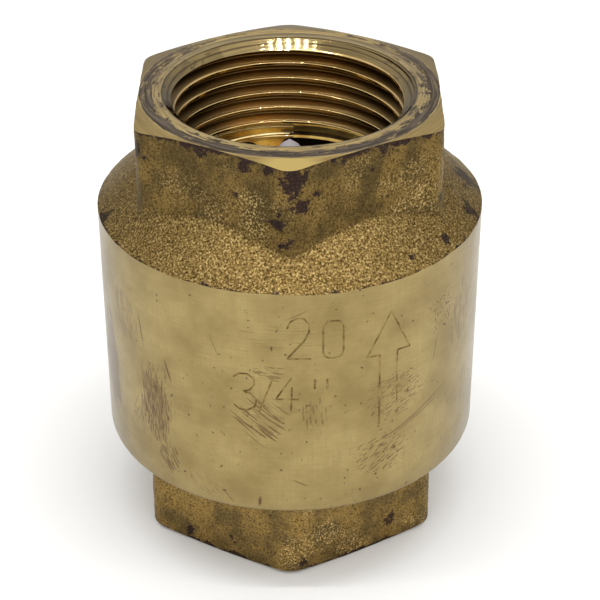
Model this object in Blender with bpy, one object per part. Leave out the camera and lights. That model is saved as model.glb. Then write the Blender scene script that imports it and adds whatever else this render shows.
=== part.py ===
"""Vertical check valve in brass, DN20, with two G 3/4 sockets.

The valve stands on its inlet end. Its axis is Z, the flow goes up, and the
origin is the centre of the inlet face. Lengths are in metres.
"""
import math

import bmesh
import bpy

MM = 0.001

# Threaded sockets: G 3/4, drawn as plain bores at the crest of the thread
SOCKET_BORE_RADIUS = 12.06 * MM
MOUTH_CHAMFER_WIDTH = 1.34 * MM
MOUTH_CHAMFER_DEPTH = 1.05 * MM
INLET_SOCKET_DEPTH = 11.4 * MM
OUTLET_SOCKET_DEPTH = 11.5 * MM
TAP_RELIEF_DEPTH = 0.44 * MM
TAP_RELIEF_WIDTH = 1.1 * MM

# Hexagons, the same on both forgings
END_RING_WIDTH = 2.4 * MM
HEX_CORNER_ROUND = 2.2 * MM
END_CHAMFER_SLOPE = 0.205
RING_SETBACK = 0.05 * MM
INLET_HEX_LENGTH = 11.1 * MM
OUTLET_NECK_LENGTH = 12.7 * MM

# Shoulder and barrel of the body
SHOULDER_SLOPE = 0.93
SHOULDER_BLEND = 1.0 * MM
BARREL_JOINT_WALL = 2.4 * MM
BARREL_EDGE_ROUND = 0.45 * MM
CEILING_SLOPE = 0.8

# Screwed joint between the body and the end connection
FLANGE_MARGIN = 0.2 * MM
JOINT_SHOULDER_WIDTH = 1.6 * MM
SOCKET_FLOOR = 2.4 * MM
SKIRT_HEIGHT = 4.4 * MM
SKIRT_WALL = 2.3 * MM
O_RING_SECTION_RADIUS = 0.6 * MM

# Seat
SOCKET_LEDGE = 3.06 * MM
SEAT_LAND = 1.2 * MM
SEAT_TUBE_HEIGHT = 5.2 * MM
SEAT_EDGE = 0.25 * MM

# Web: hub, ribs and kidney ports
WEB_THICKNESS = 3.2 * MM
RIB_WIDTH = 3.0 * MM
RIB_COUNT = 3
FIRST_RIB_ANGLE = math.radians(102.6)
PORT_LEDGE = 0.56 * MM
PORT_CORNER_ROUND = 1.1 * MM
HUB_DEPTH = 1.1 * MM
HUB_NOSE_HEIGHT = 1.3 * MM
HUB_MARGIN = 0.4 * MM

# Poppet
LIFT = 5.0 * MM
HEAD_THICKNESS = 3.2 * MM
HEAD_OVERHANG = 2.0 * MM
HEAD_LIP_WALL = 0.5 * MM
HEAD_LIP_DEPTH = 0.9 * MM
HEAD_EDGE = 0.4 * MM
STOP_BOSS_LENGTH = 4.2 * MM
SPRING_SIDE_GAP = 0.8 * MM
STEM_RADIUS = 1.6 * MM
STEM_PROUD = 5.6 * MM
TIP_CONE_RADIUS = 1.05 * MM
TIP_CONE_HEIGHT = 0.8 * MM
TIP_TAPER_HEIGHT = 0.9 * MM

# Seal, plate and screw under the head
SEAL_THICKNESS = 1.6 * MM
PLATE_THICKNESS = 1.2 * MM
PLATE_SIDE_GAP = 0.8 * MM
SCREW_RADIUS = 1.5 * MM
SCREW_HEAD_RADIUS = 2.8 * MM
SCREW_HEAD_HEIGHT = 1.6 * MM
SCREW_GRIP = 5.0 * MM
SLOT_WIDTH = 0.7 * MM
SLOT_DEPTH = 0.8 * MM

# Spring
WIRE_RADIUS = 0.3 * MM
COIL_RADIUS = 4.6 * MM
ACTIVE_COILS = 5
CLOSED_COIL_PITCH = 0.66 * MM

# Space left between two pieces that touch on the real valve
FIT_GAP = 0.3 * MM

# Fineness of the facets
FLAT_STEPS = 8
CORNER_STEPS = 4
TURN_STEPS = 40
COIL_STEPS = 16

# Radii that follow from the sizes above
MOUTH_RADIUS = SOCKET_BORE_RADIUS + MOUTH_CHAMFER_WIDTH
HEX_INRADIUS = MOUTH_RADIUS + END_RING_WIDTH
ROUND_CENTRE_RADIUS = (HEX_INRADIUS - HEX_CORNER_ROUND) / math.cos(math.pi / 6)
HEX_CORNER_RADIUS = ROUND_CENTRE_RADIUS + HEX_CORNER_ROUND
CORNER_HALF_ANGLE = math.atan2(HEX_CORNER_ROUND * math.sin(math.pi / 6),
                               ROUND_CENTRE_RADIUS + HEX_CORNER_ROUND * math.cos(math.pi / 6))
FLANGE_RADIUS = HEX_CORNER_RADIUS + FLANGE_MARGIN
JOINT_BORE_RADIUS = FLANGE_RADIUS + FIT_GAP
BARREL_RADIUS = JOINT_BORE_RADIUS + BARREL_JOINT_WALL
CHAMBER_RADIUS = JOINT_BORE_RADIUS - JOINT_SHOULDER_WIDTH
TAP_RELIEF_RADIUS = SOCKET_BORE_RADIUS + TAP_RELIEF_DEPTH
PORT_OUTER_RADIUS = SOCKET_BORE_RADIUS - PORT_LEDGE
HUB_RADIUS = COIL_RADIUS + WIRE_RADIUS + HUB_MARGIN
BOSS_RADIUS = COIL_RADIUS - WIRE_RADIUS - SPRING_SIDE_GAP
GUIDE_RADIUS = STEM_RADIUS + FIT_GAP
SEAT_BORE_RADIUS = SOCKET_BORE_RADIUS - SOCKET_LEDGE
SEAT_OUTER_RADIUS = SEAT_BORE_RADIUS + SEAT_LAND
HEAD_RADIUS = SEAT_OUTER_RADIUS + HEAD_OVERHANG
PLATE_RADIUS = SEAT_BORE_RADIUS - PLATE_SIDE_GAP
SCREW_HOLE_RADIUS = SCREW_RADIUS + FIT_GAP

# Heights that follow, stacked from the inlet face upwards
POCKET_FLOOR_Z = INLET_SOCKET_DEPTH + SOCKET_FLOOR
SEAT_Z = POCKET_FLOOR_Z + SEAT_TUBE_HEIGHT
SKIRT_TOP_Z = POCKET_FLOOR_Z + SKIRT_HEIGHT
JOINT_SHOULDER_Z = SKIRT_TOP_Z + FIT_GAP
O_RING_Z = JOINT_SHOULDER_Z - FIT_GAP - O_RING_SECTION_RADIUS
REBATE_Z = O_RING_Z - O_RING_SECTION_RADIUS - FIT_GAP
SEAL_Z = SEAT_Z + FIT_GAP
HEAD_Z = SEAL_Z + SEAL_THICKNESS + FIT_GAP
HEAD_TOP_Z = HEAD_Z + HEAD_THICKNESS
BOSS_TOP_Z = HEAD_TOP_Z + STOP_BOSS_LENGTH
HUB_NOSE_Z = BOSS_TOP_Z + LIFT + FIT_GAP
SPRING_TOP_Z = HUB_NOSE_Z + HUB_NOSE_HEIGHT
WEB_BOTTOM_Z = SPRING_TOP_Z + HUB_DEPTH
WEB_TOP_Z = WEB_BOTTOM_Z + WEB_THICKNESS
OUTLET_Z = WEB_TOP_Z + OUTLET_SOCKET_DEPTH
RIM_Z = OUTLET_Z - OUTLET_NECK_LENGTH
TIP_Z = WEB_TOP_Z + STEM_PROUD
PLATE_TOP_Z = SEAL_Z - FIT_GAP
PLATE_Z = PLATE_TOP_Z - PLATE_THICKNESS
SCREW_SEAT_Z = PLATE_Z - FIT_GAP


def remove_everything():
    for thing in list(bpy.data.objects):
        bpy.data.objects.remove(thing, do_unlink=True)


def make_material(name, colour, metallic, roughness):
    material = bpy.data.materials.new(name)
    material.use_nodes = True
    shader = material.node_tree.nodes["Principled BSDF"]
    shader.inputs["Base Color"].default_value = (*colour, 1.0)
    shader.inputs["Metallic"].default_value = metallic
    shader.inputs["Roughness"].default_value = roughness
    material.diffuse_color = (*colour, 1.0)
    return material


def finish_object(name, bm, material, smooth_angle=35.0):
    """Turn an edited mesh into an object with smooth round faces and sharp edges."""
    bmesh.ops.recalc_face_normals(bm, faces=bm.faces)
    mesh = bpy.data.meshes.new(name)
    bm.to_mesh(mesh)
    bm.free()
    mesh.shade_smooth()
    mesh.set_sharp_from_angle(angle=math.radians(smooth_angle))
    mesh.materials.append(material)
    thing = bpy.data.objects.new(name, mesh)
    bpy.context.scene.collection.objects.link(thing)
    return thing


def hex_angles():
    """Angles round a hexagon with a corner towards -Y, closer together at the corners."""
    flat_half = math.pi / 6 - CORNER_HALF_ANGLE
    angles = []
    for side in range(6):
        middle = side * math.pi / 3
        for step in range(FLAT_STEPS):
            angles.append(middle + flat_half * (2.0 * step / FLAT_STEPS - 1.0))
        for step in range(CORNER_STEPS):
            angles.append(middle + flat_half + 2.0 * CORNER_HALF_ANGLE * step / CORNER_STEPS)
    return angles


def hex_radius(angle):
    """Distance from the axis to a hexagon with rounded corners, in one direction."""
    from_flat = (angle + math.pi / 6) % (math.pi / 3) - math.pi / 6
    from_corner = math.pi / 6 - abs(from_flat)
    if from_corner >= CORNER_HALF_ANGLE:
        return HEX_INRADIUS / math.cos(from_flat)
    across = ROUND_CENTRE_RADIUS * math.sin(from_corner)
    return ROUND_CENTRE_RADIUS * math.cos(from_corner) + math.sqrt(HEX_CORNER_ROUND ** 2 - across ** 2)


def chamfer_drop(radius):
    """How far the turned end chamfer lies behind the end face at a radius."""
    return END_CHAMFER_SLOPE * (radius - HEX_INRADIUS + RING_SETBACK)


def shoulder_radius(angle, height):
    """Skin of the neck: the larger of hexagon and shoulder cone, with a soft crease."""
    hexagon = hex_radius(angle)
    cone = BARREL_RADIUS - (height - RIM_Z) / SHOULDER_SLOPE
    overlap = max(SHOULDER_BLEND - abs(hexagon - cone), 0.0)
    return max(hexagon, cone) + overlap ** 2 / (4.0 * SHOULDER_BLEND)


def loft_rings(bm, stations):
    """Close a skin through rings. A station gives radius and height for an angle."""
    angles = hex_angles()
    rings = []
    for station in stations:
        ring = []
        for angle in angles:
            radius, height = station(angle)
            ring.append(bm.verts.new((radius * math.cos(angle), radius * math.sin(angle), height)))
        rings.append(ring)
    count = len(angles)
    for lower, upper in zip(rings, rings[1:] + rings[:1]):
        for index in range(count):
            following = (index + 1) % count
            bm.faces.new((lower[index], lower[following], upper[following], upper[index]))


def turned(radius, height):
    """A station of the same radius and height all round."""
    return lambda angle: (radius, height)


def quarter_round(radius, height, size, radius_sign, height_sign, steps=3):
    """Points of a quarter round inside a corner at (radius, height), from face to side."""
    points = []
    for step in range(steps + 1):
        turn = math.pi / 2 * step / steps
        points.append((radius + radius_sign * size * (math.sin(turn) - 1.0),
                       height + height_sign * size * (math.cos(turn) - 1.0)))
    return points


def spin_profile(bm, profile, steps=TURN_STEPS):
    """Turn an open profile, whose ends lie on the axis or meet, once round Z."""
    verts = [bm.verts.new((radius, 0.0, height)) for radius, height in profile]
    edges = [bm.edges.new(pair) for pair in zip(verts, verts[1:])]
    bmesh.ops.spin(bm, geom=verts + edges, cent=(0.0, 0.0, 0.0), axis=(0.0, 0.0, 1.0),
                   dvec=(0.0, 0.0, 0.0), angle=2.0 * math.pi, steps=steps)
    bmesh.ops.remove_doubles(bm, verts=bm.verts, dist=1e-6)


def cut_away(target, cutter):
    """Subtract a hidden cutter from an object with a live Boolean."""
    cutter.hide_render = True
    cutter.display_type = 'WIRE'
    cut = target.modifiers.new("cut " + cutter.name, 'BOOLEAN')
    cut.operation = 'DIFFERENCE'
    cut.solver = 'EXACT'
    cut.object = cutter


def port_outline(middle):
    """Kidney outline between two ribs, the hub and the port's outer wall, with round corners."""
    half_rib = RIB_WIDTH / 2.0
    half_span = math.pi / RIB_COUNT
    size = PORT_CORNER_ROUND
    outer_centre = PORT_OUTER_RADIUS - size
    inner_centre = HUB_RADIUS + size
    outer_angle = half_span - math.asin((half_rib + size) / outer_centre)
    inner_angle = half_span - math.asin((half_rib + size) / inner_centre)
    outline = []

    def sweep(centre_radius, centre_angle, start, end, steps):
        centre_x = centre_radius * math.cos(middle + centre_angle)
        centre_y = centre_radius * math.sin(middle + centre_angle)
        for step in range(steps + 1):
            turn = middle + start + (end - start) * step / steps
            outline.append((centre_x + size * math.cos(turn), centre_y + size * math.sin(turn)))

    def arc(radius, start, end, steps):
        for step in range(1, steps):
            turn = middle + start + (end - start) * step / steps
            outline.append((radius * math.cos(turn), radius * math.sin(turn)))

    rib_normal = half_span + math.pi / 2.0
    arc(PORT_OUTER_RADIUS, -outer_angle, outer_angle, 14)
    sweep(outer_centre, outer_angle, outer_angle, rib_normal, 4)
    sweep(inner_centre, inner_angle, rib_normal, inner_angle + math.pi, 4)
    arc(HUB_RADIUS, inner_angle, -inner_angle, 8)
    sweep(inner_centre, -inner_angle, math.pi - inner_angle, 2.0 * math.pi - rib_normal, 4)
    sweep(outer_centre, -outer_angle, -rib_normal, -outer_angle, 4)
    return outline


def make_port_cutter(index, material):
    """Prism with the outline of one kidney port, longer than the web is thick."""
    middle = FIRST_RIB_ANGLE + (index + 0.5) * 2.0 * math.pi / RIB_COUNT
    below = WEB_BOTTOM_Z - HUB_DEPTH - HUB_NOSE_HEIGHT
    above = WEB_TOP_Z + WEB_THICKNESS
    bm = bmesh.new()
    floor = bm.faces.new([bm.verts.new((x, y, below)) for x, y in port_outline(middle)])
    raised = bmesh.ops.extrude_face_region(bm, geom=[floor])["geom"]
    lifted = [part for part in raised if isinstance(part, bmesh.types.BMVert)]
    bmesh.ops.translate(bm, verts=lifted, vec=(0.0, 0.0, above - below))
    return finish_object("port_cutter_%d" % index, bm, material)


def make_body(brass):
    """Body forging: hexagon, shoulder, barrel, outlet socket and web, then the ports are cut."""
    ceiling_radius = SOCKET_BORE_RADIUS
    ceiling_z = WEB_BOTTOM_Z - CEILING_SLOPE * (CHAMBER_RADIUS - ceiling_radius)
    barrel_foot = quarter_round(BARREL_RADIUS, INLET_HEX_LENGTH, BARREL_EDGE_ROUND, 1.0, -1.0)
    stations = [turned(radius, height) for radius, height in barrel_foot]
    stations.append(turned(BARREL_RADIUS, RIM_Z))
    crease_top = RIM_Z + SHOULDER_SLOPE * (BARREL_RADIUS - HEX_INRADIUS + SHOULDER_BLEND)
    crease_start = RIM_Z + SHOULDER_SLOPE * (BARREL_RADIUS - HEX_CORNER_RADIUS - SHOULDER_BLEND)
    crease_steps = 8
    for step in range(crease_steps + 1):
        height = crease_start + (crease_top - crease_start) * step / crease_steps
        stations.append(lambda angle, height=height: (shoulder_radius(angle, height), height))
    stations.append(lambda angle: (hex_radius(angle), OUTLET_Z - chamfer_drop(hex_radius(angle))))
    stations += [turned(radius, height) for radius, height in (
        (HEX_INRADIUS - RING_SETBACK, OUTLET_Z),
        (MOUTH_RADIUS, OUTLET_Z),
        (SOCKET_BORE_RADIUS, OUTLET_Z - MOUTH_CHAMFER_DEPTH),
        (SOCKET_BORE_RADIUS, WEB_TOP_Z + TAP_RELIEF_WIDTH + TAP_RELIEF_DEPTH),
        (TAP_RELIEF_RADIUS, WEB_TOP_Z + TAP_RELIEF_WIDTH),
        (TAP_RELIEF_RADIUS, WEB_TOP_Z),
        (GUIDE_RADIUS, WEB_TOP_Z),
        (GUIDE_RADIUS, HUB_NOSE_Z),
        (BOSS_RADIUS, HUB_NOSE_Z),
        (BOSS_RADIUS, SPRING_TOP_Z),
        (HUB_RADIUS, SPRING_TOP_Z),
        (HUB_RADIUS, WEB_BOTTOM_Z),
        (ceiling_radius, WEB_BOTTOM_Z),
        (CHAMBER_RADIUS, ceiling_z),
        (CHAMBER_RADIUS, JOINT_SHOULDER_Z),
        (JOINT_BORE_RADIUS, JOINT_SHOULDER_Z),
        (JOINT_BORE_RADIUS, INLET_HEX_LENGTH))]
    bm = bmesh.new()
    loft_rings(bm, stations)
    body = finish_object("body", bm, brass)
    for index in range(RIB_COUNT):
        cut_away(body, make_port_cutter(index, brass))
    return body


def make_end_connection(brass):
    """Inlet forging: hexagon with its socket, flange for the joint, pocket and raised seat."""
    hex_top = INLET_HEX_LENGTH - FIT_GAP
    skirt_inner = FLANGE_RADIUS - SKIRT_WALL
    rebate_radius = CHAMBER_RADIUS - FIT_GAP
    seat_top = quarter_round(SEAT_OUTER_RADIUS, SEAT_Z, SEAT_EDGE, 1.0, 1.0, 2)[::-1]
    stations = [turned(MOUTH_RADIUS, 0.0), turned(HEX_INRADIUS - RING_SETBACK, 0.0)]
    stations.append(lambda angle: (hex_radius(angle), chamfer_drop(hex_radius(angle))))
    stations.append(lambda angle: (hex_radius(angle), hex_top))
    stations += [turned(radius, height) for radius, height in (
        (FLANGE_RADIUS, hex_top),
        (FLANGE_RADIUS, REBATE_Z),
        (rebate_radius, REBATE_Z),
        (rebate_radius, SKIRT_TOP_Z),
        (skirt_inner, SKIRT_TOP_Z),
        (skirt_inner, POCKET_FLOOR_Z),
        (SEAT_OUTER_RADIUS, POCKET_FLOOR_Z),
        *seat_top,
        (SEAT_BORE_RADIUS, SEAT_Z),
        (SEAT_BORE_RADIUS, INLET_SOCKET_DEPTH),
        (TAP_RELIEF_RADIUS, INLET_SOCKET_DEPTH),
        (TAP_RELIEF_RADIUS, INLET_SOCKET_DEPTH - TAP_RELIEF_WIDTH),
        (SOCKET_BORE_RADIUS, INLET_SOCKET_DEPTH - TAP_RELIEF_WIDTH - TAP_RELIEF_DEPTH),
        (SOCKET_BORE_RADIUS, MOUTH_CHAMFER_DEPTH))]
    bm = bmesh.new()
    loft_rings(bm, stations)
    return finish_object("end_connection", bm, brass)


def make_poppet(acetal):
    """Moulded poppet: head with a recess for the seal, stop boss, stem and pointed tip."""
    recess_radius = HEAD_RADIUS - HEAD_LIP_WALL
    spring_seat_radius = HUB_RADIUS
    shoulder_z = HEAD_Z + HEAD_THICKNESS / 2.0
    hole_top = HEAD_Z + SCREW_GRIP + FIT_GAP
    profile = [(0.0, hole_top), (SCREW_HOLE_RADIUS, hole_top), (SCREW_HOLE_RADIUS, HEAD_Z),
               (recess_radius, HEAD_Z), (recess_radius, HEAD_Z - HEAD_LIP_DEPTH),
               (HEAD_RADIUS, HEAD_Z - HEAD_LIP_DEPTH)]
    profile += quarter_round(HEAD_RADIUS, shoulder_z, HEAD_EDGE, 1.0, 1.0)[::-1]
    profile += [(spring_seat_radius, HEAD_TOP_Z), (BOSS_RADIUS, HEAD_TOP_Z),
                (BOSS_RADIUS, BOSS_TOP_Z - HEAD_EDGE), (BOSS_RADIUS - HEAD_EDGE, BOSS_TOP_Z),
                (STEM_RADIUS, BOSS_TOP_Z), (STEM_RADIUS, TIP_Z - TIP_CONE_HEIGHT - TIP_TAPER_HEIGHT),
                (TIP_CONE_RADIUS, TIP_Z - TIP_CONE_HEIGHT), (0.0, TIP_Z)]
    bm = bmesh.new()
    spin_profile(bm, profile)
    return finish_object("poppet", bm, acetal)


def make_washer(name, material, inner, outer, bottom, top, edge):
    """Flat ring with a chamfered outer edge."""
    profile = [(inner, bottom), (outer - edge, bottom), (outer, bottom + edge), (outer, top - edge),
               (outer - edge, top), (inner, top), (inner, bottom)]
    bm = bmesh.new()
    spin_profile(bm, profile)
    return finish_object(name, bm, material)


def make_screw(steel):
    """Pan-head screw with a slot, head down."""
    head_bottom = SCREW_SEAT_Z - SCREW_HEAD_HEIGHT
    profile = [(0.0, head_bottom)]
    profile += quarter_round(SCREW_HEAD_RADIUS, head_bottom, SCREW_HEAD_HEIGHT / 2.0, 1.0, -1.0)
    profile += [(SCREW_HEAD_RADIUS, SCREW_SEAT_Z), (SCREW_RADIUS, SCREW_SEAT_Z),
                (SCREW_RADIUS, HEAD_Z + SCREW_GRIP), (0.0, HEAD_Z + SCREW_GRIP)]
    bm = bmesh.new()
    spin_profile(bm, profile, TURN_STEPS // 2)
    screw = finish_object("plate_screw", bm, steel)
    slot = bmesh.new()
    bmesh.ops.create_cube(slot, size=1.0)
    bmesh.ops.scale(slot, verts=slot.verts, vec=(3.0 * SCREW_HEAD_RADIUS, SLOT_WIDTH, 2.0 * SLOT_DEPTH))
    bmesh.ops.translate(slot, verts=slot.verts, vec=(0.0, 0.0, head_bottom))
    cut_away(screw, finish_object("slot_cutter", slot, steel))
    return screw


def make_o_ring(rubber):
    """Static O-ring in the rebate of the end connection."""
    ring_radius = JOINT_BORE_RADIUS - FIT_GAP - O_RING_SECTION_RADIUS
    section_steps = 8
    profile = []
    for step in range(section_steps + 1):
        turn = 2.0 * math.pi * step / section_steps
        profile.append((ring_radius + O_RING_SECTION_RADIUS * math.cos(turn),
                        O_RING_Z + O_RING_SECTION_RADIUS * math.sin(turn)))
    bm = bmesh.new()
    spin_profile(bm, profile)
    return finish_object("joint_o_ring", bm, rubber)


def make_spring(steel):
    """Compression spring with one closed coil at each end, as a wire along a helix."""
    bottom = HEAD_TOP_Z + FIT_GAP + WIRE_RADIUS
    top = SPRING_TOP_Z - FIT_GAP - WIRE_RADIUS
    open_pitch = (top - bottom - 2.0 * CLOSED_COIL_PITCH) / ACTIVE_COILS
    turns = ACTIVE_COILS + 2
    curve = bpy.data.curves.new("spring", 'CURVE')
    curve.dimensions = '3D'
    curve.bevel_depth = WIRE_RADIUS
    curve.bevel_resolution = 2
    curve.use_fill_caps = True
    wire = curve.splines.new('POLY')
    count = turns * COIL_STEPS + 1
    wire.points.add(count - 1)
    for index in range(count):
        turn = index / COIL_STEPS
        closed = min(turn, 1.0) + max(turn - turns + 1.0, 0.0)
        height = bottom + closed * CLOSED_COIL_PITCH + (turn - closed) * open_pitch
        angle = 2.0 * math.pi * turn
        wire.points[index].co = (COIL_RADIUS * math.cos(angle), COIL_RADIUS * math.sin(angle), height, 1.0)
    curve.materials.append(steel)
    spring = bpy.data.objects.new("spring", curve)
    bpy.context.scene.collection.objects.link(spring)
    return spring


def main():
    remove_everything()
    forged_brass = make_material("forged brass", (0.36, 0.25, 0.09), 1.0, 0.45)
    acetal = make_material("grey acetal", (0.30, 0.27, 0.28), 0.0, 0.55)
    rubber = make_material("nitrile rubber", (0.015, 0.015, 0.016), 0.0, 0.6)
    stainless = make_material("stainless steel", (0.55, 0.54, 0.52), 1.0, 0.3)
    make_body(forged_brass)
    make_end_connection(forged_brass)
    make_o_ring(rubber)
    poppet = make_poppet(acetal)
    seal = make_washer("seat_seal", rubber, SCREW_HOLE_RADIUS, HEAD_RADIUS - HEAD_LIP_WALL - FIT_GAP,
                       SEAL_Z, SEAL_Z + SEAL_THICKNESS, SEAT_EDGE)
    plate = make_washer("seal_plate", forged_brass, SCREW_HOLE_RADIUS, PLATE_RADIUS,
                        PLATE_Z, PLATE_TOP_Z, SEAT_EDGE)
    screw = make_screw(stainless)
    for carried in (seal, plate, screw):
        carried.parent = poppet
    make_spring(stainless)


main()
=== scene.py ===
# %% [markdown]
# # A brass check valve
#
# The valve is two brass forgings screwed together, with a sprung poppet inside. It stands on its
# lower hexagon, and the threaded outlet looks up at the camera. This lesson dresses the packed
# solids: the two forgings are made again the way a workshop makes them. First a rough forging,
# then lathe, tap and engraving tool take metal away, and each tool leaves its own kind of surface.
#
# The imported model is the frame. It comes first, because every piece has to sit where it says.

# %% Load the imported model
import math

import bpy
from mathutils import Matrix, Vector


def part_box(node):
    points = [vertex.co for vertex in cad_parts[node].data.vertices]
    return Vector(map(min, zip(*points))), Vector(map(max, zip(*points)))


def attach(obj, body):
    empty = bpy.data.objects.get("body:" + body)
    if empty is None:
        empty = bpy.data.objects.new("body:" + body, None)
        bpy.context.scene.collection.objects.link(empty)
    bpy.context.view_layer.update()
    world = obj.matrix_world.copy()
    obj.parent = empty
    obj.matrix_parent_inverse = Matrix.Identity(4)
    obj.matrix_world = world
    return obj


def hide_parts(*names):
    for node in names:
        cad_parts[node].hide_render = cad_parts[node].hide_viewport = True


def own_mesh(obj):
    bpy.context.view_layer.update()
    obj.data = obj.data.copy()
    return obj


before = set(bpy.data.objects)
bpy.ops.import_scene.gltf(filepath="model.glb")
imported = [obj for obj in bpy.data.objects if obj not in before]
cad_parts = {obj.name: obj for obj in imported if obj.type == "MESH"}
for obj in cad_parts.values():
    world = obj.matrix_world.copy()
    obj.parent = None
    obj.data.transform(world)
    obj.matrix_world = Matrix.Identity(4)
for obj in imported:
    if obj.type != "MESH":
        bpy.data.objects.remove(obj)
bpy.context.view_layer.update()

MM = 0.001
for node_name in sorted(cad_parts):
    low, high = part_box(node_name)
    print(node_name, "from", [round(v / MM, 2) for v in low], "to", [round(v / MM, 2) for v in high])

# %% [markdown]
# ## Camera
#
# The picture was taken from in front and above, from quite near, so verticals draw together
# downwards. The place, tilt and focal length below are the ones that put the rim, the mouth and
# the hexagon's corners where the photograph has them. The small shift moves the optical centre.

# %% Camera
CAMERA_PLACE = Vector((0.19, -169.6, 130.3)) * MM
CAMERA_TILT_DOWN = math.radians(31.54)
CAMERA_ROLL = math.radians(-0.223)
camera_data = bpy.data.cameras.new("camera")
camera_data.sensor_width = 36.0
camera_data.lens = 106.41
camera_data.shift_x = 0.0135
camera_data.shift_y = -0.0171
camera_data.clip_start = 0.01
camera = bpy.data.objects.new("camera", camera_data)
bpy.context.scene.collection.objects.link(camera)
look = Matrix.Rotation(math.pi / 2 - CAMERA_TILT_DOWN, 4, 'X') @ Matrix.Rotation(CAMERA_ROLL, 4, 'Z')
camera.matrix_world = Matrix.Translation(CAMERA_PLACE) @ look
bpy.context.scene.camera = camera
print("camera", round(CAMERA_PLACE.length / MM), "mm from the valve's foot")

# %% [markdown]
# ## Sizes
#
# The frame gives the overall sizes. The rest are the valve's own dimensions in millimetres: a
# G 3/4 pipe thread has a pitch of 1.814 mm, and its standard fixes the crest and root radii.

# %% Sizes
body_low, body_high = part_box("body")
OUTLET = body_high.z / MM
BARREL_FOOT = body_low.z / MM
BARREL = 20.804
SEAT_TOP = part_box("end_connection")[1].z / MM
ACROSS_FLATS_HALF = 15.8
CORNER_ROUND = 2.2
RING_OUTER = 15.75
MOUTH = 13.4
BORE = 12.06
THREAD_ROOT = 13.22
THREAD_PITCH = 1.814
RIM = 38.3
SHOULDER_SLOPE = 0.93
END_CHAMFER_SLOPE = 0.205
WEB_TOP = 39.5
WEB_UNDERSIDE = 36.3
INLET_DEPTH = 11.4
print("barrel radius in the frame", round(body_high.x / MM, 3), "outlet face at", round(OUTLET, 2))

# %% [markdown]
# ## Workshop helpers
#
# A few small helpers do most of the work. They select one piece, open it for editing, apply a
# modifier straight away, cut with a tool, and bend a wire. Another turns a list of corners into
# an outline with real edge rounds, because no edge on a real part is perfectly sharp.

# %% Helpers for modelling
def select_only(piece):
    """Make one piece the only selected one, and the active one."""
    bpy.ops.object.select_all(action='DESELECT')
    piece.select_set(True)
    bpy.context.view_layer.objects.active = piece


def open_in_edit_mode(piece, select='DESELECT'):
    """Open one piece for editing, with all of it selected or nothing."""
    select_only(piece)
    bpy.ops.object.mode_set(mode='EDIT')
    bpy.ops.mesh.select_all(action=select)


def apply_modifier(piece, kind, **settings):
    """Add a modifier, set it and apply it at once."""
    select_only(piece)
    modifier = piece.modifiers.new(kind.lower(), kind)
    for setting, value in settings.items():
        setattr(modifier, setting, value)
    bpy.ops.object.modifier_apply(modifier=modifier.name)
    return piece


def cut(piece, tool, operation='DIFFERENCE', **settings):
    """Let a tool take metal away from a piece, then throw the tool away."""
    apply_modifier(piece, 'BOOLEAN', operation=operation, object=tool, solver='MANIFOLD',
                   material_mode='TRANSFER', **settings)
    bpy.data.objects.remove(tool, do_unlink=True)
    return piece


def round_corners(corners, arc_steps=4):
    """Corners are (radius, height, edge round) in mm. Rounded corners become short arcs."""
    points = []
    for index, (radius, height, edge) in enumerate(corners):
        here = Vector((radius, height))
        if edge == 0:
            points.append(here)
            continue
        back = (Vector(corners[index - 1][:2]) - here).normalized()
        ahead = (Vector(corners[(index + 1) % len(corners)][:2]) - here).normalized()
        half_angle = back.angle(ahead) / 2
        centre = here + (back + ahead).normalized() * edge / math.sin(half_angle)
        first = here + back * edge / math.tan(half_angle) - centre
        last = here + ahead * edge / math.tan(half_angle) - centre
        for step in range(arc_steps + 1):
            points.append(centre + first.slerp(last, step / arc_steps).normalized() * edge)
    return points


def draw_outline(name, points, closed=True):
    """Draw a line through points by extruding one point along them. Points are (x, y, z) in mm."""
    bpy.ops.object.select_all(action='DESELECT')
    bpy.ops.mesh.primitive_plane_add(size=MM, location=(0, 0, 0))
    piece = bpy.context.object
    piece.name = name
    open_in_edit_mode(piece, 'SELECT')
    bpy.ops.mesh.merge(type='CENTER')
    bpy.ops.transform.translate(value=[v * MM for v in points[0]])
    for start, end in zip(points, points[1:]):
        step = [(last - first) * MM for first, last in zip(start, end)]
        bpy.ops.mesh.extrude_region_move(TRANSFORM_OT_translate={"value": step})
    if closed:
        bpy.ops.mesh.select_all(action='DESELECT')
        bpy.ops.object.mode_set(mode='OBJECT')
        piece.data.vertices[0].select = True
        piece.data.vertices[len(points) - 1].select = True
        bpy.ops.object.mode_set(mode='EDIT')
        bpy.ops.mesh.edge_face_add()
    bpy.ops.object.mode_set(mode='OBJECT')
    return piece


def half_section(points):
    """Radius and height become points in the XZ plane."""
    return [(radius, 0, height) for radius, height in points]


def turn(name, corners, steps, arc_steps=4, closed=True):
    """Turn a half section once round the valve's axis, as on a lathe."""
    piece = draw_outline(name, half_section(round_corners(corners, arc_steps)), closed)
    open_in_edit_mode(piece, 'SELECT')
    bpy.ops.mesh.spin(steps=steps, angle=2 * math.pi, center=(0, 0, 0), axis=(0, 0, 1))
    bpy.ops.mesh.select_all(action='SELECT')
    bpy.ops.mesh.remove_doubles(threshold=0.002 * MM)
    bpy.ops.mesh.normals_make_consistent(inside=False)
    bpy.ops.object.mode_set(mode='OBJECT')
    print(name, "turned:", len(piece.data.polygons), "faces")
    return piece


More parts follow.
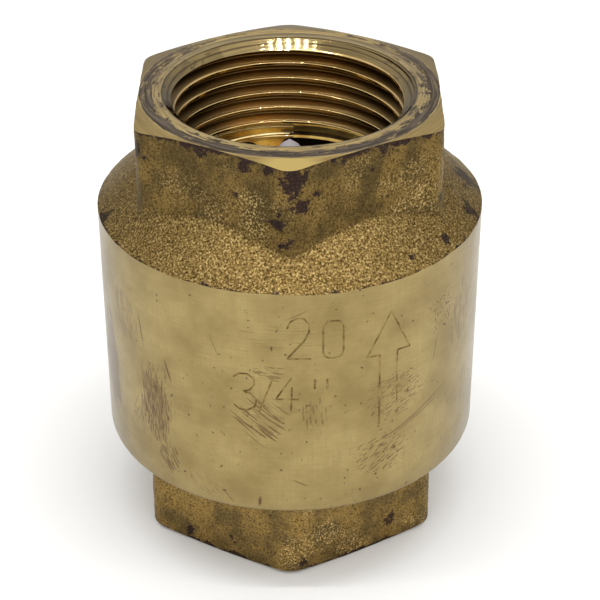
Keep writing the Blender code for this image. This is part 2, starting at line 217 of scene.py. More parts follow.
def bend_wire(name, line, radius, resolution):
    """A round wire along a line of (x, y, z) places. All in mm."""
    curve = bpy.data.curves.new(name, 'CURVE')
    curve.dimensions = '3D'
    curve.bevel_depth = radius * MM
    curve.bevel_resolution = resolution
    curve.use_fill_caps = True
    path = curve.splines.new('POLY')
    path.points.add(len(line) - 1)
    for point, place in zip(path.points, line):
        point.co = [v * MM for v in place] + [1.0]
    wire = bpy.data.objects.new(name, curve)
    bpy.context.scene.collection.objects.link(wire)
    select_only(wire)
    bpy.ops.object.convert(target='MESH')
    wire = bpy.context.object
    wire.data.materials.clear()
    return wire


# %% [markdown]
# ## Finishes
#
# Eight brass finishes share the valve, and they differ by how each surface was made. A material is
# a small graph of nodes. Every pattern reads Object coordinates, which are metres on the part, so
# a grain of 0.25 mm is a noise scale of 1000 / 0.25. Colours are written as sRGB hex values. Many
# patterns are noise that a Map Range node turns into a mask: dark below one value, light above
# another, smooth between them.

# %% Helpers for materials
def linear(hex_colour):
    """An sRGB hex colour as the linear values that shaders want."""
    values = [int(hex_colour[i:i + 2], 16) / 255 for i in (1, 3, 5)]
    return tuple(v / 12.92 if v <= 0.04045 else ((v + 0.055) / 1.055) ** 2.4 for v in values) + (1.0,)


def per_mm(size):
    """Noise scale for a feature of this size in millimetres."""
    return 1000.0 / size


def add(material, kind, output, inputs, **settings):
    """Add one node, set it, fill its inputs with values or links, and give back one output."""
    node = material.node_tree.nodes.new("ShaderNode" + kind)
    for setting, value in settings.items():
        setattr(node, setting, value)
    for socket, value in inputs.items():
        if isinstance(value, bpy.types.NodeSocket):
            material.node_tree.links.new(value, node.inputs[socket])
        else:
            node.inputs[socket].default_value = value
    return node.outputs[output]


def new_material(name, metallic, roughness):
    """A material with a Principled shader, and its Object coordinates."""
    material = bpy.data.materials.new(name)
    material.use_nodes = True
    shader = material.node_tree.nodes["Principled BSDF"]
    shader.inputs["Metallic"].default_value = metallic
    shader.inputs["Roughness"].default_value = roughness
    return material, shader, add(material, "TexCoord", "Object", {})


def flat_and_radius(material, place):
    """A place pressed flat onto the floor, and how far it is from the valve's axis."""
    flat_place = add(material, "VectorMath", 0, {0: place, 1: (1, 1, 0)}, operation='MULTIPLY')
    return flat_place, add(material, "VectorMath", "Value", {0: flat_place}, operation='LENGTH')


def finish_material(material, shader, colour, height, strength, depth_mm):
    """Send a colour and a bump of some depth to the shader."""
    material.node_tree.links.new(colour, shader.inputs["Base Color"])
    bump = add(material, "Bump", "Normal", {"Height": height, "Strength": strength,
                                            "Distance": depth_mm * MM})
    material.node_tree.links.new(bump, shader.inputs["Normal"])
    return material


# %% [markdown]
# ### Patina
#
# Fingers and damp leave ragged, purple-brown stains. A stain isn't a disc: fine noise shows
# wherever it beats a threshold, and nearness to a spot or an edge lowers that threshold, so the
# stain is solid in the middle and breaks up into specks at its rim.

# %% Patina mask
def near_spots(material, place, spots, nearness):
    """The larger of nearness and how near a place is to spots (x, y, z, reach in mm, strength)."""
    for x, y, z, reach, strength in spots:
        away = add(material, "VectorMath", "Value", {0: place, 1: (x * MM, y * MM, z * MM)},
                   operation='DISTANCE')
        near = add(material, "MapRange", "Result", {"Value": away, "From Min": reach * MM, "From Max": 0.0,
                                                    "To Min": 0.0, "To Max": strength})
        nearness = add(material, "Math", 0, {0: near, 1: nearness}, operation='MAXIMUM')
    return nearness


def patina(material, place, spots, nearness):
    """A ragged mask round spots, and wherever nearness is high already."""
    nearness = near_spots(material, place, spots, nearness)
    ragged = add(material, "TexNoise", "Fac", {"Vector": place, "Scale": per_mm(1.4), "Detail": 9.0,
                                               "Roughness": 0.74})
    total = add(material, "Math", 0, {0: ragged, 1: nearness}, operation='ADD')
    return add(material, "MapRange", "Result", {"Value": total, "From Min": 0.80, "From Max": 0.86},
               interpolation_type='SMOOTHSTEP')


# %% [markdown]
# ### Forged and blasted brass
#
# Hot forging leaves scale, and blasting with grit cleans it to a dull, even grain that catches
# sparks of light. The shoulder faced the nozzle and is golden and coarse. The upright flats took
# the grit at a slant and are finer, darker and more olive. An attribute on the mesh says how far
# each place faces up, and the two looks blend by it.

# %% Forged brass
PATINA_COLOUR = "#302425"


def forged_brass(name, spots, pale_spots, edges, painted_light_gain):
    """Edges are (axis, start, end, strength): a stained edge by height 'Z' or by radius 'R', in mm."""
    material, shader, place = new_material(name, 1.0, 0.46)
    shader.inputs["Specular Tint"].default_value = (0.85, 0.82, 0.74, 1.0)
    facing_up = add(material, "Attribute", "Fac", {}, attribute_name="facing_up")
    shoulder = add(material, "MapRange", "Result", {"Value": facing_up, "From Min": 0.25, "From Max": 0.6},
                   interpolation_type='SMOOTHSTEP')
    grain = add(material, "TexNoise", "Fac", {"Vector": place, "Scale": per_mm(0.21), "Detail": 2.0,
                                              "Roughness": 0.6})
    cloud = add(material, "TexNoise", "Fac", {"Vector": place, "Scale": per_mm(3.6), "Detail": 4.0,
                                              "Roughness": 0.62})
    pits = add(material, "TexNoise", "Fac", {"Vector": place, "Scale": per_mm(0.8), "Detail": 3.0,
                                             "Roughness": 0.65})
    # Golden shoulder: dark gaps, warm body and bright flecks of the same grain
    gaps = add(material, "MapRange", "Result", {"Value": grain, "From Min": 0.34, "From Max": 0.52},
               interpolation_type='SMOOTHSTEP')
    flecks = add(material, "MapRange", "Result", {"Value": grain, "From Min": 0.52, "From Max": 0.68},
                 interpolation_type='SMOOTHSTEP')
    golden = add(material, "Mix", 2, {0: gaps, 6: linear("#45361d"), 7: linear("#7f673a")}, data_type='RGBA')
    golden = add(material, "Mix", 2, {0: flecks, 6: golden, 7: linear("#b8a06a")}, data_type='RGBA')
    # Olive flats: the same grain with less contrast, under slow clouds
    clouded = add(material, "MapRange", "Result", {"Value": cloud, "From Min": 0.36, "From Max": 0.62},
                  interpolation_type='SMOOTHSTEP')
    olive = add(material, "Mix", 2, {0: clouded, 6: linear("#594a2c"), 7: linear("#80683a")},
                data_type='RGBA')
    olive = add(material, "Mix", 2, {0: gaps, 6: linear("#483a21"), 7: olive}, data_type='RGBA')
    pale_patch = add(material, "TexNoise", "Fac", {"Vector": place, "Scale": per_mm(5.5), "Detail": 1.0})
    pale_patch = add(material, "MapRange", "Result", {"Value": pale_patch, "From Min": 0.55, "From Max": 0.72,
                                                      "To Min": 0.1, "To Max": 0.8},
                     interpolation_type='SMOOTHSTEP')
    pale_patch = near_spots(material, place, pale_spots, pale_patch)
    specks = add(material, "Math", 0, {0: flecks, 1: pale_patch}, operation='MULTIPLY')
    olive = add(material, "Mix", 2, {0: specks, 6: olive, 7: linear("#c4ab74")}, data_type='RGBA')
    colour = add(material, "Mix", 2, {0: shoulder, 6: olive, 7: golden}, data_type='RGBA')
    dark_pits = add(material, "MapRange", "Result", {"Value": pits, "From Min": 0.60, "From Max": 0.72,
                                                     "To Min": 0.0, "To Max": 0.6},
                    interpolation_type='SMOOTHSTEP')
    colour = add(material, "Mix", 2, {0: dark_pits, 6: colour, 7: linear("#3b2f1c")}, data_type='RGBA')
    # The colours are scaled by a gain: above 1 it is painted light
    colour = add(material, "VectorMath", 0, {0: colour, 3: painted_light_gain}, operation='SCALE')
    # Stained edges, which come and go along their length
    radius = flat_and_radius(material, place)[1]
    height = add(material, "SeparateXYZ", "Z", {0: place})
    nearness = 0.0
    for axis, start, end, strength in edges:
        near = add(material, "MapRange", "Result", {"Value": radius if axis == 'R' else height,
                                                    "From Min": start * MM, "From Max": end * MM,
                                                    "To Min": 0.0, "To Max": strength})
        nearness = add(material, "Math", 0, {0: near, 1: nearness}, operation='MAXIMUM')
    varied = add(material, "MapRange", "Result", {"Value": cloud, "From Min": 0.35, "From Max": 0.6,
                                                  "To Min": 0.72, "To Max": 1.1})
    nearness = add(material, "Math", 0, {0: nearness, 1: varied}, operation='MULTIPLY')
    stained = patina(material, place, spots, nearness)
    see_through = add(material, "MapRange", "Result", {"Value": grain, "From Min": 0.4, "From Max": 0.7,
                                                       "To Min": 1.0, "To Max": 0.78})
    stained = add(material, "Math", 0, {0: stained, 1: see_through}, operation='MULTIPLY')
    colour = add(material, "Mix", 2, {0: stained, 6: colour, 7: linear(PATINA_COLOUR)}, data_type='RGBA')
    relief = add(material, "Math", 0, {0: pits, 1: 0.8, 2: grain}, operation='MULTIPLY_ADD')
    return finish_material(material, shader, colour, relief, 0.6, 0.055)


# Stains on the upper and the lower forging, then sparkling patches where the blast hit the flats
UPPER_SPOTS = [
    (0.4, -17.7, 49.2, 3.4, 0.55), (0.9, -17.4, 46.6, 2.8, 0.48), (-1.0, -17.5, 44.6, 2.8, 0.50),
    (0.3, -17.8, 47.6, 2.6, 0.42), (-0.6, -17.7, 42.2, 2.4, 0.46), (2.6, -16.6, 47.4, 1.8, 0.42),
    (-1.9, -16.9, 50.3, 2.2, 0.45), (-9.0, -12.8, 50.4, 3.0, 0.45),
    (9.5, -12.2, 50.4, 2.4, 0.42), (-4.2, -15.5, 49.9, 2.4, 0.45), (5.0, -15.0, 50.3, 2.6, 0.40),
    (19.2, -5.4, 39.8, 4.0, 0.42), (19.2, 1.0, 40.0, 5.0, 0.50), (15.7, -8.2, 47.6, 1.3, 0.55),
    (15.6, -8.6, 42.6, 1.3, 0.55), (-15.6, -8.6, 48.5, 3.4, 0.46), (-19.8, -5.5, 38.9, 3.0, 0.44),
    (-5.3, -14.9, 46.6, 1.0, 0.5), (8.0, -13.2, 48.3, 1.4, 0.45), (12.6, -10.4, 49.6, 1.2, 0.55),
    (9.7, -12.2, 44.7, 1.2, 0.5), (16.2, -11.5, 39.4, 1.6, 0.5), (12.3, -15.0, 39.2, 1.6, 0.4)]
LOWER_SPOTS = [
    (1.5, -17.4, 1.2, 3.2, 0.40), (-11.5, -11.5, 1.5, 2.6, 0.45), (-6.5, -14.4, 2.5, 2.4, 0.40),
    (11.0, -11.6, 3.0, 3.4, 0.38), (13.2, -10.4, 8.6, 1.6, 0.5), (-2.0, -16.8, 7.6, 2.6, 0.32)]
PALE_SPOTS = [
    (-3.9, -16.0, 45.6, 2.6, 2.0), (-3.6, -16.2, 43.4, 2.4, 2.0), (-7.4, -14.0, 43.9, 3.4, 1.0),
    (-11.6, -11.5, 45.6, 3.0, 0.8), (13.4, -10.4, 43.9, 2.6, 2.0), (11.2, -11.6, 42.9, 2.2, 1.4),
    (8.6, -13.4, 41.4, 1.4, 1.2)]
forged_upper = forged_brass("forged_brass_body", UPPER_SPOTS, PALE_SPOTS,
                            [('Z', 49.4, 50.9, 0.46), ('R', 20.1, 20.75, 0.31)], 1.0)
# The lower forging is painted 1.5 times lighter: painted light for its place in shade near the floor
forged_lower = forged_brass("forged_brass_end", LOWER_SPOTS, [], [('Z', 1.3, 0.0, 0.50)], 1.5)
print("forged brass:", len(UPPER_SPOTS), "stains above,", len(LOWER_SPOTS), "below")

# %% [markdown]
# ### Turned barrel
#
# A carbide tip left fine rings round the barrel, too fine to see singly from here, so they are
# drawn about twice as coarse. Years in boxes added scratches, in patches that all lean one way
# because one thing rubbed there, and small pits. They follow a map of the unrolled barrel, whose
# two axes are the distance round from the front and the height, both in metres.

# %% Turned barrel brass
# Patches of parallel scratches: distance round, height, half width, half height, lean in degrees,
# scratch width and length, threshold, strength. A low threshold fills a patch with tarnish
PATCHES = [
    (-16.0, 21.0, 4.3, 9.2, 4, 0.17, 1.5, 0.46, 0.92), (-16.0, 20.6, 4.1, 8.2, 4, 0.9, 4.0, 0.34, 0.32),
    (-14.1, 14.9, 2.8, 4.4, 24, 0.20, 1.6, 0.48, 0.80), (-2.2, 28.9, 3.8, 1.9, 78, 0.24, 2.0, 0.50, 0.60),
    (-3.2, 22.8, 5.2, 5.6, 50, 0.26, 4.2, 0.50, 0.75), (-2.0, 24.5, 4.5, 4.0, 50, 1.4, 4.0, 0.42, 0.22),
    (2.4, 23.6, 3.0, 4.4, -2, 0.24, 1.5, 0.55, 0.60), (9.9, 17.2, 7.4, 5.2, -62, 0.18, 1.0, 0.555, 0.88),
    (11.6, 24.2, 8.0, 6.4, -72, 0.18, 0.9, 0.560, 0.74), (18.0, 31.9, 5.0, 6.0, -14, 0.26, 0.5, 0.60, 1.0),
    (22.0, 29.0, 5.0, 9.0, 6, 0.24, 3.2, 0.52, 0.55), (-21.0, 30.0, 5.0, 7.5, 6, 0.24, 3.6, 0.53, 0.50),
    (-18.6, 19.0, 3.0, 3.6, -28, 0.22, 2.6, 0.55, 0.50), (-9.5, 13.5, 5.0, 3.4, 40, 0.20, 2.6, 0.60, 0.45),
    (0.0, 33.0, 12.0, 5.0, 86, 0.20, 3.4, 0.60, 0.30), (24.0, 19.0, 5.0, 7.0, -16, 0.24, 2.6, 0.58, 0.50),
    (-25.4, 22.0, 3.8, 9.5, 8, 1.2, 8.0, 0.30, 0.62), (38.0, 24.0, 12.0, 11.0, 30, 0.26, 3.0, 0.58, 0.5),
    (-42.0, 22.0, 12.0, 12.0, -40, 0.26, 3.0, 0.58, 0.5), (56.0, 26.0, 9.0, 9.0, 80, 0.28, 2.6, 0.56, 0.5)]
# Single marks: distance round, height, half length, half width, lean in degrees, strength
MARKS = [
    (-17.7, 29.9, 2.6, 0.11, 10, 0.9), (-13.8, 26.4, 1.7, 0.16, 19, 0.9), (-3.3, 12.45, 0.75, 0.22, -4, 1.0),
    (12.6, 19.9, 4.4, 0.10, -72, 0.8), (15.6, 21.2, 4.6, 0.09, -70, 0.8), (14.6, 20.3, 5.2, 0.07, -70, 0.7),
    (-25.6, 24.4, 1.6, 0.10, 15, 0.7), (1.0, 15.0, 1.2, 0.12, 62, 0.7), (-6.8, 12.6, 1.5, 0.09, 40, 0.6),
    (0.6, 35.9, 1.5, 0.09, -64, 0.6), (-8.0, 31.5, 1.6, 0.08, 20, 0.5), (17.0, 27.6, 2.0, 0.09, -12, 0.6)]


def turned_barrel():
    """Fine rings under tarnish, then the patches, the single marks and small pits."""
    material, shader, place = new_material("turned_brass_barrel", 1.0, 0.3)
    shader.inputs["Specular Tint"].default_value = (0.76, 0.76, 0.77, 1.0)
    shader.inputs["Coat Weight"].default_value = 0.4
    shader.inputs["Coat Roughness"].default_value = 0.3
    wrap = add(material, "UVMap", "UV", {}, uv_map="wrap")
    squeezed = add(material, "Mapping", "Vector", {"Vector": place, "Scale": (0.5, 0.5, 10.0)})
    rings = add(material, "TexNoise", "Fac", {"Vector": squeezed, "Scale": per_mm(2.0), "Detail": 3.0,
                                              "Roughness": 0.65})
    cloud = add(material, "TexNoise", "Fac", {"Vector": place, "Scale": per_mm(6.0), "Detail": 4.0,
                                              "Roughness": 0.6})
    mottled = add(material, "MapRange", "Result", {"Value": cloud, "From Min": 0.36, "From Max": 0.64})
    colour = add(material, "Mix", 2, {0: mottled, 6: linear("#8e7a48"), 7: linear("#a9955f")},
                 data_type='RGBA')
    combed = add(material, "Mapping", "Vector", {"Vector": wrap, "Scale": (1.0, 0.06, 1.0)})
    combed = add(material, "TexNoise", "Fac", {"Vector": combed, "Scale": per_mm(0.3), "Detail": 3.0,
                                               "Roughness": 0.7}, noise_dimensions='2D')
    combed = add(material, "MapRange", "Result", {"Value": combed, "From Min": 0.5, "From Max": 0.75,
                                                  "To Min": 0.0, "To Max": 0.28})
    combed = add(material, "Math", 0, {0: combed, 1: mottled}, operation='MULTIPLY')
    colour = add(material, "Mix", 2, {0: combed, 6: colour, 7: linear("#7c6842")}, data_type='RGBA')
    ringed = add(material, "MapRange", "Result", {"Value": rings, "From Min": 0.35, "From Max": 0.7,
                                                  "To Min": 0.0, "To Max": 0.3})
    colour = add(material, "Mix", 2, {0: ringed, 6: colour, 7: linear("#847046")}, data_type='RGBA')
    scratched = 0.0
    for round_by, high, half_width, half_height, lean, width, length, threshold, strength in PATCHES:
        patch = add(material, "Mapping", "Vector",
                    {"Vector": wrap, "Location": (round_by * MM, high * MM, 0),
                     "Scale": (half_width * MM, half_height * MM, 1)}, vector_type='TEXTURE')
        away = add(material, "VectorMath", "Value", {0: patch}, operation='LENGTH')
        inside = add(material, "MapRange", "Result", {"Value": away, "From Min": 1.0, "From Max": 0.35,
                                                      "To Min": -0.5, "To Max": 0.0})
        along = add(material, "Mapping", "Vector",
                    {"Vector": wrap, "Location": (round_by * MM, high * MM, 0),
                     "Rotation": (0, 0, math.radians(lean)),
                     "Scale": (width * MM, length * MM, 1)}, vector_type='TEXTURE')
        streaks = add(material, "TexNoise", "Fac", {"Vector": along, "Scale": 1.0, "Detail": 2.0},
                      noise_dimensions='2D')
        streaks = add(material, "Math", 0, {0: streaks, 1: inside}, operation='ADD')
        streaks = add(material, "MapRange", "Result", {"Value": streaks, "From Min": threshold,
                                                       "From Max": threshold + 0.07, "To Max": strength},
                      interpolation_type='SMOOTHSTEP')
        scratched = add(material, "Math", 0, {0: streaks, 1: scratched}, operation='MAXIMUM')
    for round_by, high, half_length, half_width, lean, strength in MARKS:
        mark = add(material, "Mapping", "Vector",
                   {"Vector": wrap, "Location": (round_by * MM, high * MM, 0),
                    "Rotation": (0, 0, math.radians(lean)),
                    "Scale": (half_width * MM, half_length * MM, 1)}, vector_type='TEXTURE')
        away = add(material, "VectorMath", "Value", {0: mark}, operation='LENGTH')
        line = add(material, "MapRange", "Result", {"Value": away, "From Min": 1.0, "From Max": 0.5,
                                                    "To Min": 0.0, "To Max": strength})
        scratched = add(material, "Math", 0, {0: line, 1: scratched}, operation='MAXIMUM')
    colour = add(material, "Mix", 2, {0: scratched, 6: colour, 7: linear("#604727")}, data_type='RGBA')
    pits = add(material, "TexNoise", "Fac", {"Vector": place, "Scale": per_mm(0.42), "Detail": 0.0})
    pits = add(material, "MapRange", "Result", {"Value": pits, "From Min": 0.79, "From Max": 0.84,
                                                "To Min": 0.0, "To Max": 0.8})
    colour = add(material, "Mix", 2, {0: pits, 6: colour, 7: linear("#4d3b24")}, data_type='RGBA')
    smoothness = add(material, "MapRange", "Result", {"Value": cloud, "From Min": 0.3, "From Max": 0.7,
                                                      "To Min": 0.34, "To Max": 0.26})
    material.node_tree.links.new(smoothness, shader.inputs["Roughness"])
    relief = add(material, "Math", 0, {0: rings, 1: pits}, operation='SUBTRACT')
    return finish_material(material, shader, colour, relief, 0.5, 0.02)


barrel_brass = turned_barrel()
print("barrel:", len(PATCHES), "scratched patches and", len(MARKS), "single marks")

# %% [markdown]
# ### Faced ring and chamfers
#
# The end face and the chamfers were cut last and are still bright. The outer part of the ring has
# been rubbed and has gone dark purple-grey, in streaks that run round with the lathe's rings.
# Dividing a place by its radius gives a direction without a seam, and the radius itself goes
# where the height was, so noise can be long round the ring and short across it.

# %% Faced brass
def faced():
    """Lathe rings round the axis, with dark stains that grow between two radii."""
    material, shader, place = new_material("faced_brass", 1.0, 0.25)
    flat_place, radius = flat_and_radius(material, place)
    direction = add(material, "VectorMath", 0, {0: flat_place}, operation='NORMALIZE')
    across = add(material, "CombineXYZ", 0, {2: radius})
    streaked = add(material, "VectorMath", 0, {0: direction, 1: (2.8 * MM, 2.8 * MM, 0), 2: across},
                   operation='MULTIPLY_ADD')
    lathed = add(material, "VectorMath", 0, {0: direction, 1: (0.7 * MM, 0.7 * MM, 0), 2: across},
                 operation='MULTIPLY_ADD')
    cloud = add(material, "TexNoise", "Fac", {"Vector": place, "Scale": per_mm(2.0), "Detail": 5.0,
                                              "Roughness": 0.7})
    arcs = add(material, "TexNoise", "Fac", {"Vector": streaked, "Scale": per_mm(0.4), "Detail": 4.0,
                                             "Roughness": 0.68})
    lines = add(material, "TexNoise", "Fac", {"Vector": lathed, "Scale": per_mm(0.22), "Detail": 2.0})
    colour = add(material, "Mix", 2, {0: cloud, 6: linear("#a58d58"), 7: linear("#c4ad79")}, data_type='RGBA')
    lined = add(material, "MapRange", "Result", {"Value": lines, "From Min": 0.44, "From Max": 0.62,
                                                 "To Min": 0.0, "To Max": 0.6})
    colour = add(material, "Mix", 2, {0: lined, 6: colour, 7: linear("#6f5d3c")}, data_type='RGBA')
    rubbed_out = add(material, "MapRange", "Result", {
        "Value": radius, "From Min": 14.1 * MM, "From Max": 14.9 * MM, "To Min": 0.0, "To Max": 0.19})
    kept_bright = add(material, "MapRange", "Result", {
        "Value": radius, "From Min": 15.72 * MM, "From Max": 15.85 * MM, "To Min": 0.0, "To Max": -0.30})
    nearness = add(material, "Math", 0, {0: rubbed_out, 1: kept_bright}, operation='ADD')
    blend = add(material, "Math", 0, {0: arcs, 1: 1.0, 2: nearness}, operation='MULTIPLY_ADD')
    blend = add(material, "Math", 0, {0: cloud, 1: 0.45, 2: blend}, operation='MULTIPLY_ADD')
    # Stains thin out towards the back of the ring, so the back is lighter: painted light
    front_to_back = add(material, "SeparateXYZ", "Y", {0: place})
    less_stain_painted_light = add(material, "MapRange", "Result", {
        "Value": front_to_back, "From Min": 8.0 * MM, "From Max": 14.0 * MM, "To Min": 0.05,
        "To Max": -0.17})
    blend = add(material, "Math", 0, {0: blend, 1: less_stain_painted_light}, operation='ADD')
    stained = add(material, "MapRange", "Result", {"Value": blend, "From Min": 0.79, "From Max": 0.90,
                                                   "To Min": 0.0, "To Max": 0.9},
                  interpolation_type='SMOOTHSTEP')
    rubbed = add(material, "Mix", 2, {0: lined, 6: linear("#2f2628"), 7: linear("#8b7d6c")}, data_type='RGBA')
    colour = add(material, "Mix", 2, {0: stained, 6: colour, 7: rubbed}, data_type='RGBA')
    # The chamfer is a little darker, and the hexagon's front corner has a painted highlight
    inner = add(material, "MapRange", "Result", {
        "Value": radius, "From Min": 13.42 * MM, "From Max": 13.36 * MM, "To Min": 0.0, "To Max": 0.72})
    colour = add(material, "Mix", 2, {0: inner, 6: colour, 7: linear("#6f6042")}, data_type='RGBA')
    to_corner = add(material, "VectorMath", "Value", {
        0: place, 1: (0, -18.0 * MM, 50.6 * MM)}, operation='DISTANCE')
    front_corner_highlight = add(material, "MapRange", "Result", {
        "Value": to_corner, "From Min": 4.2 * MM, "From Max": 2.2 * MM})
    outside = add(material, "MapRange", "Result", {
        "Value": radius, "From Min": 15.85 * MM, "From Max": 16.0 * MM})
    front_corner_highlight = add(material, "Math", 0, {0: front_corner_highlight, 1: outside}, operation='MULTIPLY')
    outside = add(material, "Math", 0, {0: outside, 1: 0.6}, operation='MULTIPLY')
    colour = add(material, "Mix", 2, {0: outside, 6: colour, 7: linear("#8a7340")}, data_type='RGBA')
    # Painted highlight: a lighter colour on the front corner only
    colour = add(material, "Mix", 2, {0: front_corner_highlight, 6: colour, 7: linear("#bfa664")}, data_type='RGBA')
    # Dirt in the corner between ring and chamfer, and in one deeper lathe line on the chamfer
    for line_radius, line_dirt in ((MOUTH, 0.75), (12.8, 0.7)):
        from_line = add(material, "Math", 0, {0: radius, 1: line_radius * MM}, operation='SUBTRACT')
        from_line = add(material, "Math", 0, {0: from_line, 1: 0.0}, operation='ABSOLUTE')
        dirt = add(material, "MapRange", "Result", {
            "Value": from_line, "From Min": 0.12 * MM, "From Max": 0.04 * MM, "To Min": 0.0,
            "To Max": line_dirt})
        colour = add(material, "Mix", 2, {0: dirt, 6: colour, 7: linear("#3a2f22")}, data_type='RGBA')
    polish = add(material, "MapRange", "Result", {
        "Value": radius, "From Min": 13.35 * MM, "From Max": 13.5 * MM, "To Min": 0.08, "To Max": 0.3})
    dull = add(material, "Math", 0, {0: stained, 1: 0.25, 2: polish}, operation='MULTIPLY_ADD')
    material.node_tree.links.new(dull, shader.inputs["Roughness"])
    relief = add(material, "Math", 0, {0: arcs, 1: 0.5, 2: lines}, operation='MULTIPLY_ADD')
    depth = add(material, "MapRange", "Result", {
        "Value": radius, "From Min": 13.35 * MM, "From Max": 13.5 * MM, "To Min": 0.14, "To Max": 0.6})
    return finish_material(material, shader, colour, relief, depth, 0.03)


faced_brass = faced()

# %% [markdown]
# ### Tapped socket
#
# The crests were reamed and are polished, so small lamps show in them as rows of beads. The
# flanks are torn by the tap and golden brown, and the roots are painted nearly black, for old
# cutting oil and as painted shade in the grooves. The radius tells crest from root, so the finish
# follows the groove without a painted map.

# %% Tapped brass
def tapped():
    """Polished crests, torn flanks and roots dark with oil and painted shade, told apart by radius."""
    material, shader, place = new_material("tapped_brass", 1.0, 0.2)
    radius = flat_and_radius(material, place)[1]
    cloud = add(material, "TexNoise", "Fac", {"Vector": place, "Scale": per_mm(2.4), "Detail": 4.0,
                                              "Roughness": 0.6})
    crest = add(material, "Mix", 2, {0: cloud, 6: linear("#b99a5c"), 7: linear("#dcc088")}, data_type='RGBA')
    flank = add(material, "Mix", 2, {0: cloud, 6: linear("#8d6b36"), 7: linear("#c59d58")}, data_type='RGBA')
    height = add(material, "SeparateXYZ", "Z", {0: place})
    # Flanks are painted lighter deeper in the socket: painted light
    painted_light_deeper = add(material, "MapRange", "Result", {
        "Value": height, "From Min": 48.0 * MM, "From Max": 42.0 * MM, "To Min": 0.0, "To Max": 0.75})
    flank = add(material, "Mix", 2, {0: painted_light_deeper, 6: flank, 7: linear("#eac684")}, data_type='RGBA')
    torn = add(material, "MapRange", "Result", {
        "Value": radius, "From Min": 12.1 * MM, "From Max": 12.3 * MM})
    # The roots are painted nearly black: old oil, and painted shade in the grooves
    oil_and_painted_shade = add(material, "MapRange", "Result", {
        "Value": radius, "From Min": 12.75 * MM, "From Max": 13.15 * MM, "To Min": 0.0, "To Max": 0.66})
    # Flanks towards the left and right of the socket are painted dark: painted shade
    sideways = add(material, "SeparateXYZ", "X", {0: place})
    sideways = add(material, "Math", 0, {0: sideways, 1: 0.0}, operation='ABSOLUTE')
    painted_shade_sides = add(material, "MapRange", "Result", {
        "Value": sideways, "From Min": 5.5 * MM, "From Max": 10.5 * MM, "To Min": 0.0, "To Max": 0.75})
    flank = add(material, "Mix", 2, {0: painted_shade_sides, 6: flank, 7: linear("#2e251a")}, data_type='RGBA')
    colour = add(material, "Mix", 2, {0: torn, 6: crest, 7: flank}, data_type='RGBA')
    colour = add(material, "Mix", 2, {0: oil_and_painted_shade, 6: colour, 7: linear("#4a3013")}, data_type='RGBA')
    rough = add(material, "MapRange", "Result", {
        "Value": radius, "From Min": 12.1 * MM, "From Max": 12.35 * MM, "To Min": 0.09, "To Max": 0.34})
    material.node_tree.links.new(rough, shader.inputs["Roughness"])
    upright = add(material, "Mapping", "Vector", {"Vector": place, "Scale": (1.0, 1.0, 0.3)})
    chatter = add(material, "TexNoise", "Fac", {"Vector": upright, "Scale": per_mm(0.5), "Detail": 2.0})
    return finish_material(material, shader, colour, chatter, 0.16, 0.01)


tapped_brass = tapped()

# %% [markdown]
# ### Engraved, bored and punched brass
#
# The rest of the brass is plainer, and one function makes three finishes of it, each one worn
# between a dark and a light shade. Engraved strokes are ground and were never polished. The web
# and the hidden bores are painted pale gold, as painted light for the web deep in the socket. The
# ports' walls are painted nearly black, as painted shade inside the ports.

# %% Engraved, bored and punched brass
def plain_brass(name, roughness, grain, dark, light):
    """Brass of one roughness, worn in clouds of some grain in mm."""
    material, shader, place = new_material(name, 1.0, roughness)
    worn = add(material, "TexNoise", "Fac", {"Vector": place, "Scale": per_mm(grain), "Detail": 3.0})
    worn = add(material, "MapRange", "Result", {"Value": worn, "From Min": 0.36, "From Max": 0.60})
    colour = add(material, "Mix", 2, {0: worn, 6: linear(dark), 7: linear(light)}, data_type='RGBA')
    return finish_material(material, shader, colour, worn, 0.3, 0.01)


engraved_brass = plain_brass("engraved_brass", 0.42, 0.9, "#755f37", "#a8925e")
# Pale gold: painted light on the web and the bores deep inside
bored_brass_painted_light = plain_brass("bored_brass_painted_light", 0.24, 2.0, "#cbb078", "#e8d6a2")
# Nearly black: painted shade in the ports and in the corner by the web
port_brass_painted_shade = plain_brass("port_brass_painted_shade", 0.5, 2.0, "#1d160e", "#3a2c1a")

# %% [markdown]
# ## The forged blank
#
# Both hexagons left the press as hot forged brass: soft edges, a soft crease where the hexagon
# runs into the coned shoulder, and a skin that is never quite flat. A six-sided cylinder gets
# round corners, a wider block stands under it, and the two are fused. A voxel remesh then gives
# one even skin that can be smoothed and pushed in and out a little, which a plain Boolean can't.
# The blank is made larger than the part wherever a tool will cut it afterwards.

# %% Forge a blank
FORGING_VOXEL = 0.3
# Grain of the waves in the skin, and how far they push it
FORGING_WAVES = ((5.0, 0.22), (1.2, 0.08))


